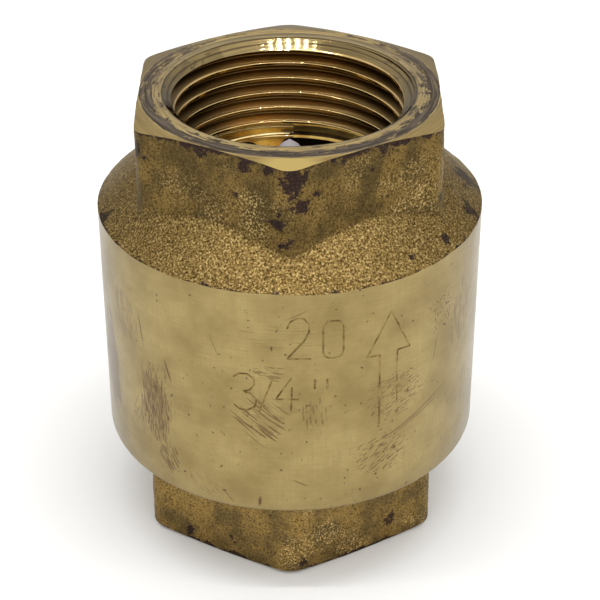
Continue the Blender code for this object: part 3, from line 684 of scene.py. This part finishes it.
def forge(name, bottom, top, block_corners, material):
    """A hexagon bar fused with a round block, with a soft and slightly uneven skin. Sizes in mm."""
    sharp_corner = ACROSS_FLATS_HALF / math.cos(math.pi / 6)
    bpy.ops.object.select_all(action='DESELECT')
    bpy.ops.mesh.primitive_cylinder_add(vertices=6, radius=sharp_corner * MM, depth=(top - bottom) * MM,
                                        location=(0, 0, (top + bottom) / 2 * MM))
    blank = bpy.context.object
    blank.name = name
    bpy.ops.object.transform_apply(location=True, rotation=True, scale=True)
    open_in_edit_mode(blank)
    bpy.ops.object.mode_set(mode='OBJECT')
    for edge in blank.data.edges:
        ends = [blank.data.vertices[i].co for i in edge.vertices]
        edge.select = abs(ends[0].z - ends[1].z) > 1 * MM
    bpy.ops.object.mode_set(mode='EDIT')
    bpy.ops.mesh.select_mode(type='EDGE')
    bpy.ops.mesh.bevel(offset=CORNER_ROUND * math.tan(math.pi / 6) * MM, segments=6)
    bpy.ops.mesh.select_mode(type='VERT')
    bpy.ops.object.mode_set(mode='OBJECT')
    block = turn(name + "_block", block_corners, 96, closed=False)
    cut(blank, block, 'UNION')
    apply_modifier(blank, 'REMESH', mode='VOXEL', voxel_size=FORGING_VOXEL * MM)
    apply_modifier(blank, 'SMOOTH', factor=0.5, iterations=8)
    for grain, push in FORGING_WAVES:
        clouds = bpy.data.textures.new(name + "_waves", 'CLOUDS')
        clouds.noise_scale = grain * MM
        clouds.noise_depth = 2
        apply_modifier(blank, 'DISPLACE', texture=clouds, texture_coords='LOCAL', direction='NORMAL',
                       mid_level=0.5, strength=push * MM)
    blank.data.materials.clear()
    blank.data.materials.append(material)
    print(name, "forged:", len(blank.data.polygons), "faces")
    return blank

# %% [markdown]
# ## The tap
#
# A tap cuts the thread. Its tooth is the shape of the groove: flanks at 27.5 degrees, a rounded
# root, and small flares that leave a rounded crest. The Screw modifier sweeps the tooth along
# the helix. A right-hand thread climbs as it turns counter-clockwise seen from above.

# %% Make a tap
THREAD_STEPS = 96
FLANK_ANGLE = 27.5
THREAD_DEPTH = 0.640327 * THREAD_PITCH


def tap(name, turns, start_angle, start_height):
    """The swept groove of the thread, from a start angle (degrees) and groove height (mm) upwards."""
    pitch_radius = THREAD_ROOT - THREAD_DEPTH / 2
    slope = math.tan(math.radians(FLANK_ANGLE))
    crest = BORE - 0.01
    crest_half = THREAD_PITCH / 4 + (pitch_radius - crest) * slope
    root_half = THREAD_PITCH / 4 + (pitch_radius - THREAD_ROOT) * slope
    widest = THREAD_PITCH / 2 - 0.03
    inside = BORE - 0.2
    corners = [(inside, -widest, 0), (crest - 0.02, -widest, 0), (crest, -crest_half, 0.18),
               (THREAD_ROOT, -root_half, 0.19), (THREAD_ROOT, root_half, 0.19),
               (crest, crest_half, 0.18), (crest - 0.02, widest, 0), (inside, widest, 0)]
    tooth = draw_outline(name, half_section(round_corners(corners, 5)))
    apply_modifier(tooth, 'SCREW', axis='Z', angle=2 * math.pi, screw_offset=THREAD_PITCH * MM,
                   iterations=turns, steps=THREAD_STEPS, render_steps=THREAD_STEPS)
    open_in_edit_mode(tooth, 'SELECT')
    bpy.ops.mesh.remove_doubles(threshold=0.001 * MM)
    bpy.ops.mesh.select_all(action='SELECT')
    bpy.ops.mesh.fill_holes(sides=0)
    bpy.ops.mesh.select_all(action='SELECT')
    bpy.ops.mesh.normals_make_consistent(inside=False)
    bpy.ops.object.mode_set(mode='OBJECT')
    place = Matrix.Translation((0, 0, start_height * MM)) @ Matrix.Rotation(math.radians(start_angle), 4, 'Z')
    tooth.data.transform(place)
    tooth.data.materials.append(tapped_brass)
    print(name, "tap:", len(tooth.data.polygons), "faces")
    return tooth

# %% [markdown]
# ## Body
#
# The body's half section holds everything the lathe made: barrel, end face, mouth, socket, the
# web with its hub, and the bore at the bottom for the end connection. Its outside is larger than
# the hexagon, so where forging and section overlap, the forged skin is left on the flats and the
# shoulder, and the lathe's skin on the barrel, on the face and on the chamfered corners.

# %% Turn the body's section
def chamfer_height(radius):
    """How far the turned chamfer on a hexagon's corners lies behind the end face."""
    return END_CHAMFER_SLOPE * (radius - RING_OUTER)


HUB = 5.3
HUB_NOSE = 33.9
HUB_STEP = 35.2
BOSS = 3.5
GUIDE = 1.9
CHAMBER = 16.804
JOINT_SHOULDER = 18.5
JOINT_BORE = 18.404
RELIEF = 12.5
RELIEF_TOP = 40.95
CHAMFER_DEPTH = 1.05
LATHE_LINE = 14.56
LATHE_LINE_HALF = 0.06
body_section = [
    (JOINT_BORE, BARREL_FOOT, 0.25), (BARREL, BARREL_FOOT, 0.45),
    *[(BARREL, height, 0) for height in range(15, 36, 4)], (BARREL, OUTLET - chamfer_height(BARREL), 0),
    (RING_OUTER, OUTLET, 0.4), (LATHE_LINE + LATHE_LINE_HALF, OUTLET, 0), (LATHE_LINE, OUTLET - 0.03, 0),
    (LATHE_LINE - LATHE_LINE_HALF, OUTLET, 0), (MOUTH, OUTLET, 0.12), (13.24, OUTLET - 0.125, 0),
    (12.22, OUTLET - 0.925, 0), (BORE, OUTLET - CHAMFER_DEPTH, 0.1),
    (BORE, RELIEF_TOP, 0.05), (RELIEF, RELIEF_TOP - 0.35, 0.1), (RELIEF, WEB_TOP, 0.3),
    (GUIDE, WEB_TOP, 0.2), (GUIDE, HUB_NOSE, 0.2), (BOSS, HUB_NOSE, 0.3), (BOSS, HUB_STEP, 0.1),
    (HUB, HUB_STEP, 0.2), (HUB, WEB_UNDERSIDE, 0.3), (BORE, WEB_UNDERSIDE, 0.8),
    (CHAMBER, WEB_UNDERSIDE - 0.8 * (CHAMBER - BORE), 0.8), (CHAMBER, JOINT_SHOULDER, 0.15),
    (JOINT_BORE, JOINT_SHOULDER, 0.1)]
body = turn("body_forging", body_section, 256, arc_steps=3)


def paint(piece, material, belongs=lambda radius, height: True):
    """Give a material to the faces whose middle passes a test of radius and height in mm."""
    piece.data.materials.append(material)
    index = len(piece.data.materials) - 1
    for face in piece.data.polygons:
        middle = face.center / MM
        if belongs(middle.xy.length, middle.z):
            face.material_index = index


paint(body, bored_brass_painted_light)
paint(body, tapped_brass, lambda radius, height: radius < BORE + 0.1 and height > RELIEF_TOP - 0.2)
paint(body, barrel_brass, lambda radius, height: radius > JOINT_BORE + 0.1)
paint(body, faced_brass, lambda radius, height: radius > BORE + 0.1 and height > 49.7)

# %% [markdown]
# ### Ports and thread
#
# Three kidney-shaped ports let the water through between the web's ribs. Each one is cut by a
# punch: a flat outline with round corners, extruded upwards. The tap follows.

# %% Cut the ports and the thread
PORT_OUTER = 11.5
PORT_INNER = HUB + 0.12
PORT_CORNER = 1.1
RIB_WIDTH = 3.0
FIRST_RIB = 102.6


def kidney(middle):
    """Corners of one port: two arcs and two rib sides. All four real corners are rounded."""
    half_span = math.pi / 3
    corners = []
    for radius, direction in ((PORT_OUTER, 1), (PORT_INNER, -1)):
        edge_angle = half_span - math.asin(RIB_WIDTH / 2 / radius)
        corner_angle = PORT_CORNER * 1.15 / radius
        steps = 14 if direction > 0 else 8
        turns = [-edge_angle] + [(edge_angle - corner_angle) * (2 * step / steps - 1)
                                 for step in range(steps + 1)] + [edge_angle]
        for index, along in enumerate(turns):
            angle = middle + direction * along
            real_corner = index in (0, len(turns) - 1)
            corners.append((radius * math.cos(angle), radius * math.sin(angle),
                            PORT_CORNER if real_corner else 0))
    return corners


def port_tool():
    """Three kidney-shaped punches, one between each pair of ribs."""
    low, high = 33.0, 42.0
    punches = []
    for index in range(3):
        middle = math.radians(FIRST_RIB + 60 + 120 * index)
        flat = [(x, y, low) for x, y in round_corners(kidney(middle), 5)]
        punch = draw_outline("port_tool", flat)
        open_in_edit_mode(punch, 'SELECT')
        bpy.ops.mesh.edge_face_add()
        bpy.ops.mesh.extrude_region_move(TRANSFORM_OT_translate={"value": (0, 0, (high - low) * MM)})
        bpy.ops.mesh.select_all(action='SELECT')
        bpy.ops.mesh.normals_make_consistent(inside=False)
        bpy.ops.object.mode_set(mode='OBJECT')
        punches.append(punch)
    bpy.ops.object.select_all(action='DESELECT')
    for punch in punches:
        punch.select_set(True)
    bpy.context.view_layer.objects.active = punches[0]
    bpy.ops.object.join()
    punches[0].data.materials.append(port_brass_painted_shade)
    return punches[0]


cut(body, port_tool())
cut(body, tap("outlet_tap", turns=8, start_angle=88, start_height=40.17))
print("ports and thread cut:", len(body.data.polygons), "faces")

# %% Paint what the tap's cut has left
# The tap's cut leaves its own finish on the mouth and in the relief, which are painted again.
# The right-hand half of the corner between relief and web is painted nearly black with the
# ports' brass: gathered oil, and painted shade in that corner
CORNER = 0.28
faced_index = body.data.materials.find(faced_brass.name)
painted_light_bored_index = body.data.materials.find(bored_brass_painted_light.name)
painted_shade_port_index = body.data.materials.find(port_brass_painted_shade.name)
for face in body.data.polygons:
    middle = face.center / MM
    if middle.xy.length > BORE + 0.1:
        if middle.z > OUTLET - 1.02:
            face.material_index = faced_index
        elif WEB_TOP < middle.z < RELIEF_TOP:
            oil_and_painted_shade = middle.z < WEB_TOP + CORNER and middle.xy.length < RELIEF and middle.x > 0
            face.material_index = painted_shade_port_index if oil_and_painted_shade else painted_light_bored_index
print("painted", sum(face.material_index == painted_shade_port_index for face in body.data.polygons), "oily faces")

# %% [markdown]
# ## Engraving
#
# An arrow for the direction of flow and the plain numbers of the nominal size were cut into the
# barrel with a thin ball-nosed tool: single strokes, about a tenth of a millimetre deep. Strokes
# are drawn as if the barrel were unrolled: distance round it from the front, and height.

# %% Engrave the barrel
STROKE_RADIUS = 0.12
STROKE_STEP = 0.6
STROKE_CENTRE = BARREL + 0.035


def box_with_round_ends(left, right, low, high, edge):
    """A closed stroke round a box with rounded corners."""
    corners = [(left, low, edge), (right, low, edge), (right, high, edge), (left, high, edge)]
    outline = [tuple(point) for point in round_corners(corners)]
    return outline + outline[:1]


STROKES = [
    [(-0.3, 34.4), (0.0, 35.2), (0.7, 35.6), (1.4, 35.5), (1.9, 34.8), (1.9, 33.9), (1.4, 32.9),
     (-0.3, 30.8)], [(-0.3, 30.8), (2.1, 30.7)],
    box_with_round_ends(3.35, 5.45, 30.6, 35.0, 0.8),
    [(-5.9, 28.1), (-5.3, 28.6), (-4.5, 28.7), (-3.8, 28.2), (-3.7, 27.4), (-4.2, 26.7), (-4.9, 26.5)],
    [(-4.9, 26.5), (-4.1, 26.3), (-3.5, 25.6), (-3.7, 24.7), (-4.4, 24.2), (-5.3, 24.2), (-5.9, 24.7)],
    [(-1.8, 28.3), (-3.2, 24.2)],
    [(0.1, 28.4), (-1.5, 25.8), (0.9, 25.8)], [(0.15, 27.3), (0.05, 24.3)],
    [(2.5, 28.2), (2.5, 27.0)], [(3.8, 28.1), (3.8, 26.9)],
    [(10.7, 34.8), (8.0, 29.9)], [(10.7, 34.8), (13.2, 29.7)], [(8.0, 29.9), (9.5, 29.8)],
    [(13.2, 29.7), (11.6, 29.8)], [(9.5, 29.8), (9.6, 21.1)], [(11.6, 29.8), (11.7, 23.4)]]


def wrapped(distance, height):
    """A point on the unrolled barrel goes to its place round the axis, in mm."""
    angle = distance / BARREL
    return STROKE_CENTRE * math.sin(angle), -STROKE_CENTRE * math.cos(angle), height


def engraver(stroke):
    """One stroke as a tool: a thin round wire laid along it in short steps."""
    line = []
    for (left, low), (right, high) in zip(stroke, stroke[1:]):
        steps = max(1, math.ceil(math.dist((left, low), (right, high)) / STROKE_STEP))
        line += [wrapped(left + step / steps * (right - left), low + step / steps * (high - low))
                 for step in range(steps)]
    tool = bend_wire("engraver", line + [wrapped(*stroke[-1])], STROKE_RADIUS, 1)
    open_in_edit_mode(tool, 'SELECT')
    bpy.ops.mesh.remove_doubles(threshold=0.002 * MM)
    bpy.ops.mesh.normals_make_consistent(inside=False)
    bpy.ops.object.mode_set(mode='OBJECT')
    tool.data.materials.append(engraved_brass)
    return tool


for stroke in STROKES:
    cut(body, engraver(stroke))
print("engraved", len(STROKES), "strokes")

# %% [markdown]
# ### Forged outside
#
# The round block under the hexagon is the barrel and, above the rim, the cone of the shoulder,
# which rises to well inside the hexagon. What section and blank have in common is the part.

# %% Leave the forged skin on the outside
BLOCK = 21.9
BLOCK_FOOT = 9.0
CONE_INNER = 10.0
cone_foot = RIM - SHOULDER_SLOPE * 1.1
cone_top = RIM + SHOULDER_SLOPE * (BARREL - CONE_INNER)
shoulder_block = [(0, BLOCK_FOOT, 0), (BLOCK, BLOCK_FOOT, 0), (BLOCK, cone_foot, 0),
                  (CONE_INNER, cone_top, 0), (0, cone_top, 0)]
body_blank = forge("body_blank", bottom=25.0, top=53.0, block_corners=shoulder_block,
                   material=forged_upper)
cut(body, body_blank, 'INTERSECT')
print("body", len(body.data.polygons), "faces")

# %% [markdown]
# ## End connection
#
# The lower forging is made the same way: section on the lathe, tap from below, hexagon from the
# press. A half turn about the X axis keeps the thread right-handed, where a mirror would not.

# %% Turn, tap and forge the end connection
HEX_TOP = 10.8
FLANGE = 18.104
SKIRT = 16.504
SKIRT_TOP = 18.2
REBATE = 16.7
POCKET = 15.804
POCKET_FLOOR = 13.8
SEAT_OUTER = 10.2
SEAT_BORE = 9.0
end_section = [
    (MOUTH, 0, 0.12), (LATHE_LINE - LATHE_LINE_HALF, 0, 0), (LATHE_LINE, 0.03, 0),
    (LATHE_LINE + LATHE_LINE_HALF, 0, 0), (RING_OUTER, 0, 0.4),
    (19.0, chamfer_height(19.0), 0), (19.0, 10.4, 0), (FLANGE, 10.4, 0),
    (FLANGE, REBATE, 0.1), (SKIRT, REBATE, 0.1), (SKIRT, SKIRT_TOP, 0.1), (POCKET, SKIRT_TOP, 0.1),
    (POCKET, POCKET_FLOOR, 0.4), (SEAT_OUTER, POCKET_FLOOR, 0.4), (SEAT_OUTER, SEAT_TOP, 0.25),
    (SEAT_BORE, SEAT_TOP, 0.15), (SEAT_BORE, INLET_DEPTH, 0.2), (RELIEF, INLET_DEPTH, 0.3),
    (RELIEF, INLET_DEPTH - 1.1, 0.1), (BORE, INLET_DEPTH - 1.45, 0.05), (BORE, CHAMFER_DEPTH, 0.1),
    (12.22, 0.925, 0), (13.24, 0.125, 0)]
end_piece = turn("end_forging", end_section, 192, arc_steps=3)
paint(end_piece, bored_brass_painted_light)
paint(end_piece, tapped_brass,
      lambda radius, height: radius < BORE + 0.1 and 1.0 < height < INLET_DEPTH - 1.2)
paint(end_piece, faced_brass, lambda radius, height: radius > BORE + 0.1 and height < 1.3)
inlet_tap = tap("inlet_tap", turns=7, start_angle=40, start_height=-10.73)
inlet_tap.data.transform(Matrix.Rotation(math.pi, 4, 'X'))
cut(end_piece, inlet_tap)
flange_block = [(0, HEX_TOP, 0), (18.9, HEX_TOP, 0), (18.9, 20.5, 0), (0, 20.5, 0)]
end_blank = forge("end_blank", bottom=-1.5, top=12.0, block_corners=flange_block, material=forged_lower)
cut(end_piece, end_blank, 'INTERSECT')
print("end", len(end_piece.data.polygons), "faces")

# %% [markdown]
# ## Moving piece and small parts
#
# The poppet is moulded in grey acetal, and its stem's tip is the pale point seen in the socket.
# Seal, plate and screw sit under its head. All are round, so all are turned from a section.

# %% Plain materials
def moulded(name, shades, roughness, grain, depth):
    """Plastic or rubber: nearly even in colour, with a faint moulded texture."""
    material, shader, place = new_material(name, 0.0, roughness)
    cloud = add(material, "TexNoise", "Fac", {"Vector": place, "Scale": per_mm(2.0), "Detail": 4.0})
    colour = add(material, "Mix", 2, {0: cloud, 6: linear(shades[0]), 7: linear(shades[1])}, data_type='RGBA')
    texture = add(material, "TexNoise", "Fac", {"Vector": place, "Scale": per_mm(grain), "Detail": 3.0})
    return finish_material(material, shader, colour, texture, 0.4, depth)


def bright_steel(name, stretch):
    """Stainless steel with fine drawing or turning lines."""
    material, shader, place = new_material(name, 1.0, 0.28)
    stretched = add(material, "Mapping", "Vector", {"Vector": place, "Scale": stretch})
    lines = add(material, "TexNoise", "Fac", {"Vector": stretched, "Scale": per_mm(0.4), "Detail": 2.0})
    colour = add(material, "Mix", 2, {0: lines, 6: linear("#8f8c88"), 7: linear("#c9c6c0")}, data_type='RGBA')
    return finish_material(material, shader, colour, lines, 0.3, 0.01)


acetal = moulded("grey_acetal", ("#877f80", "#9f9697"), 0.5, 0.4, 0.02)
nitrile = moulded("nitrile_rubber", ("#1a1a1b", "#262627"), 0.6, 0.3, 0.02)
spring_steel = bright_steel("spring_steel", (1.0, 1.0, 1.0))
screw_steel = bright_steel("screw_steel", (1.0, 1.0, 6.0))

# %% Poppet, seal, plate and O-ring
def reach(node_name):
    """Outer radius, bottom and top of a packed round piece, in mm."""
    low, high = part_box(node_name)
    return high.x / MM, low.z / MM, high.z / MM


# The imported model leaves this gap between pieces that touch
FIT = 0.3
HEAD, LIP, STEM_TIP = reach("poppet")
SEAL, SEAL_LOW, SEAL_TOP = reach("seat_seal")
PLATE, PLATE_LOW, PLATE_TOP = reach("seal_plate")
SCREW_HEAD, SCREW_LOW, SCREW_TOP = reach("plate_screw")
SCREW = 1.5
STEM = 1.6
HEAD_TOP = SEAL_TOP + FIT + 3.2
BOSS_TOP = HEAD_TOP + 4.2
poppet_section = [
    (0, SCREW_TOP + FIT, 0), (SCREW + FIT, SCREW_TOP + FIT, 0.2), (SCREW + FIT, SEAL_TOP + FIT, 0.15),
    (SEAL + FIT, SEAL_TOP + FIT, 0.2), (SEAL + FIT, LIP, 0.1), (HEAD, LIP, 0.15),
    (HEAD, HEAD_TOP - 1.6, 0.6), (HUB, HEAD_TOP, 0.6), (BOSS, HEAD_TOP, 0.3), (BOSS, BOSS_TOP, 0.4),
    (STEM, BOSS_TOP, 0.3), (STEM, STEM_TIP - 1.7, 0.5), (1.05, STEM_TIP - 0.8, 0.3), (0, STEM_TIP, 0)]
poppet = turn("poppet_moulding", poppet_section, 96, closed=False)
paint(poppet, acetal)
seal = turn("seal_disc", [(SCREW + FIT, SEAL_LOW, 0.1), (SEAL, SEAL_LOW, 0.3), (SEAL, SEAL_TOP, 0.3),
                          (SCREW + FIT, SEAL_TOP, 0.1)], 96)
paint(seal, nitrile)
plate = turn("clamp_plate", [(SCREW + FIT, PLATE_LOW, 0.1), (PLATE, PLATE_LOW, 0.35),
                             (PLATE, PLATE_TOP, 0.1), (SCREW + FIT, PLATE_TOP, 0.1)], 96)
paint(plate, faced_brass)
o_ring = turn("o_ring", [(16.92, 17.02, 0.5), (18.09, 17.02, 0.5), (18.09, 18.18, 0.5),
                         (16.92, 18.18, 0.5)], 128)
paint(o_ring, nitrile)

# %% [markdown]
# ### Screw and spring
#
# The screw is turned, and its slot is sawn with a flat box. The spring is a wire bent along a
# helix. Its first and last turns are nearly closed, so that it stands square between the
# poppet's head and the hub.

# %% Screw
SLOT_WIDTH = 0.7
SLOT_DEPTH = 0.8
screw = turn("clamp_screw", [(0, SCREW_LOW, 0), (SCREW_HEAD, SCREW_LOW, 0.8),
                             (SCREW_HEAD, PLATE_LOW - FIT, 0.1), (SCREW, PLATE_LOW - FIT, 0.1),
                             (SCREW, SCREW_TOP, 0.3), (0, SCREW_TOP, 0)], 48, closed=False)
paint(screw, screw_steel)
bpy.ops.object.select_all(action='DESELECT')
bpy.ops.mesh.primitive_cube_add(size=1, location=(0, 0, SCREW_LOW * MM))
slot_tool = bpy.context.object
slot_tool.scale = (3 * SCREW_HEAD * MM, SLOT_WIDTH * MM, 2 * SLOT_DEPTH * MM)
bpy.ops.object.transform_apply(location=True, rotation=True, scale=True)
slot_tool.data.materials.append(screw_steel)
cut(screw, slot_tool)

# %% Spring
COIL = 4.6
WIRE = 0.3
CLOSED_PITCH = 0.66
TURNS = 7
STEPS_IN_A_TURN = 40
SPRING_LOW = HEAD_TOP + FIT + WIRE
SPRING_HIGH = HUB_STEP - FIT - WIRE
open_pitch = (SPRING_HIGH - SPRING_LOW - 2 * CLOSED_PITCH) / (TURNS - 2)
coil = []
for index in range(TURNS * STEPS_IN_A_TURN + 1):
    turned = index / STEPS_IN_A_TURN
    closed_part = min(turned, 1.0) + max(turned - TURNS + 1.0, 0.0)
    height = SPRING_LOW + closed_part * CLOSED_PITCH + (turned - closed_part) * open_pitch
    coil.append((COIL * math.cos(2 * math.pi * turned), COIL * math.sin(2 * math.pi * turned), height))
spring = bend_wire("spring_wire", coil, WIRE, 4)
paint(spring, spring_steel)

# %% [markdown]
# ## Seat every piece on its body
#
# Smooth shading with a sharp-edge limit is set last, when all cuts are made. Each piece replaces
# its imported solid and rides on the body that carries it.

# %% Shade, wrap and ride
def unroll(piece):
    """A UV map called wrap: distance round the axis and height, both in metres."""
    layer = piece.data.uv_layers.new(name="wrap")
    for face in piece.data.polygons:
        middle = math.atan2(face.center.x, -face.center.y)
        for loop in face.loop_indices:
            place = piece.data.vertices[piece.data.loops[loop].vertex_index].co
            angle = math.atan2(place.x, -place.y)
            angle = middle + (angle - middle + math.pi) % (2 * math.pi) - math.pi
            layer.data[loop].uv = (angle * BARREL * MM, place.z)


def mark_facing_up(piece):
    """Store on every corner point how far the surface faces up there."""
    layer = piece.data.attributes.new("facing_up", 'FLOAT', 'POINT')
    for point, normal in zip(layer.data, piece.data.vertex_normals):
        point.value = normal.vector.z


unroll(body)
mark_facing_up(body)
mark_facing_up(end_piece)
# Piece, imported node, body, slot and the angle in degrees above which an edge stays sharp
PIECES = [(body, "body", "valve_body", "body_brass", 30),
          (end_piece, "end_connection", "valve_body", "end_brass", 30),
          (o_ring, "joint_o_ring", "valve_body", "nitrile_rubber", 40),
          (spring, "spring", "valve_body", "stainless_steel", 40),
          (poppet, "poppet", "closing_piece", "grey_acetal", 35),
          (seal, "seat_seal", "closing_piece", "nitrile_rubber", 40),
          (plate, "seal_plate", "closing_piece", "turned_brass", 35),
          (screw, "plate_screw", "closing_piece", "stainless_steel", 35)]
for piece, node_name, body_name, slot_name, limit in PIECES:
    select_only(piece)
    bpy.ops.object.shade_smooth_by_angle(angle=math.radians(limit))
    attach(piece, body_name)
    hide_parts(node_name)
    print(piece.name, len(piece.data.polygons), "faces on", body_name)
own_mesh(spring)

# %% [markdown]
# ## Light and floor
#
# The photograph was taken in a white box with a row of small lamps at the top. White walls light
# the barrel evenly, and the lamps give the bright beads on the thread's crests and on the mouth's
# chamfer. A soft area lamp high on the right makes that side a little brighter.

# %% Light and floor
bpy.context.scene.view_settings.view_transform = 'Standard'
world = bpy.data.worlds.new("white box")
bpy.context.scene.world = world
world.use_nodes = True
sky = world.node_tree.nodes["Background"]
sky.inputs["Strength"].default_value = 1.18
upwards = world.node_tree.nodes.new("ShaderNodeTexCoord").outputs["Generated"]
height_of_sky = world.node_tree.nodes.new("ShaderNodeSeparateXYZ")
world.node_tree.links.new(upwards, height_of_sky.inputs[0])
box_walls = world.node_tree.nodes.new("ShaderNodeValToRGB")
world.node_tree.links.new(height_of_sky.outputs["Z"], box_walls.inputs["Fac"])
world.node_tree.links.new(box_walls.outputs["Color"], sky.inputs["Color"])
# Sine of the elevation, and how bright the box is there: dim at the open front and back, bright
# half way up the walls, a little dimmer at the lid
WALLS = [(0.0, 0.30), (0.15, 0.38), (0.42, 0.66), (0.72, 1.0), (1.0, 0.8)]
while len(box_walls.color_ramp.elements) < len(WALLS):
    box_walls.color_ramp.elements.new(0.5)
for stop, (place_on_ramp, brightness) in zip(box_walls.color_ramp.elements, WALLS):
    stop.position = place_on_ramp
    stop.color = (brightness, brightness, brightness, 1.0)


VALVE_MIDDLE = Vector((0, 0, 0.03))


def hang_lamp(name, kind, place, watts, **settings):
    """Hang a lamp at a place in metres and turn it to the middle of the valve."""
    light = bpy.data.lights.new(name, kind)
    light.energy = watts
    for setting, value in settings.items():
        setattr(light, setting, value)
    lamp = bpy.data.objects.new(name, light)
    bpy.context.scene.collection.objects.link(lamp)
    facing = (VALVE_MIDDLE - Vector(place)).to_track_quat('-Z', 'Y')
    lamp.matrix_world = Matrix.Translation(place) @ facing.to_matrix().to_4x4()


hang_lamp("soft box", 'AREA', (0.22, -0.24, 0.44), 0.55, shape='RECTANGLE', size=0.6, size_y=0.5)
# Small lamps, as seen from the mouth: 35 cm above it, 4.7 cm towards the camera, 2.8 cm apart
BEADS = 12
BEAD_HEIGHT = 0.35
BEAD_FORWARD = 0.135 * BEAD_HEIGHT
BEAD_SPACING = 0.08 * BEAD_HEIGHT
BEAD_MIDDLE = 6.9
for index in range(BEADS):
    bead_place = ((index - BEAD_MIDDLE) * BEAD_SPACING, -BEAD_FORWARD, OUTLET * MM + BEAD_HEIGHT)
    hang_lamp("bead", 'POINT', bead_place, 0.14, shadow_soft_size=0.0025)

bpy.ops.object.select_all(action='DESELECT')
bpy.ops.mesh.primitive_plane_add(size=2.0, location=(0, 0, -0.0001))
floor = bpy.context.object
floor.name = "floor"
paper, paper_shader, paper_place = new_material("floor_paper", 0.0, 0.8)
mottle = add(paper, "TexNoise", "Fac", {"Vector": paper_place, "Scale": per_mm(30.0), "Detail": 2.0})
paper_colour = add(paper, "Mix", 2, {0: mottle, 6: linear("#f6f6f5"), 7: linear("#fbfbfa")},
                   data_type='RGBA')
finish_material(paper, paper_shader, paper_colour, mottle, 0.1, 0.1)
floor.data.materials.append(paper)
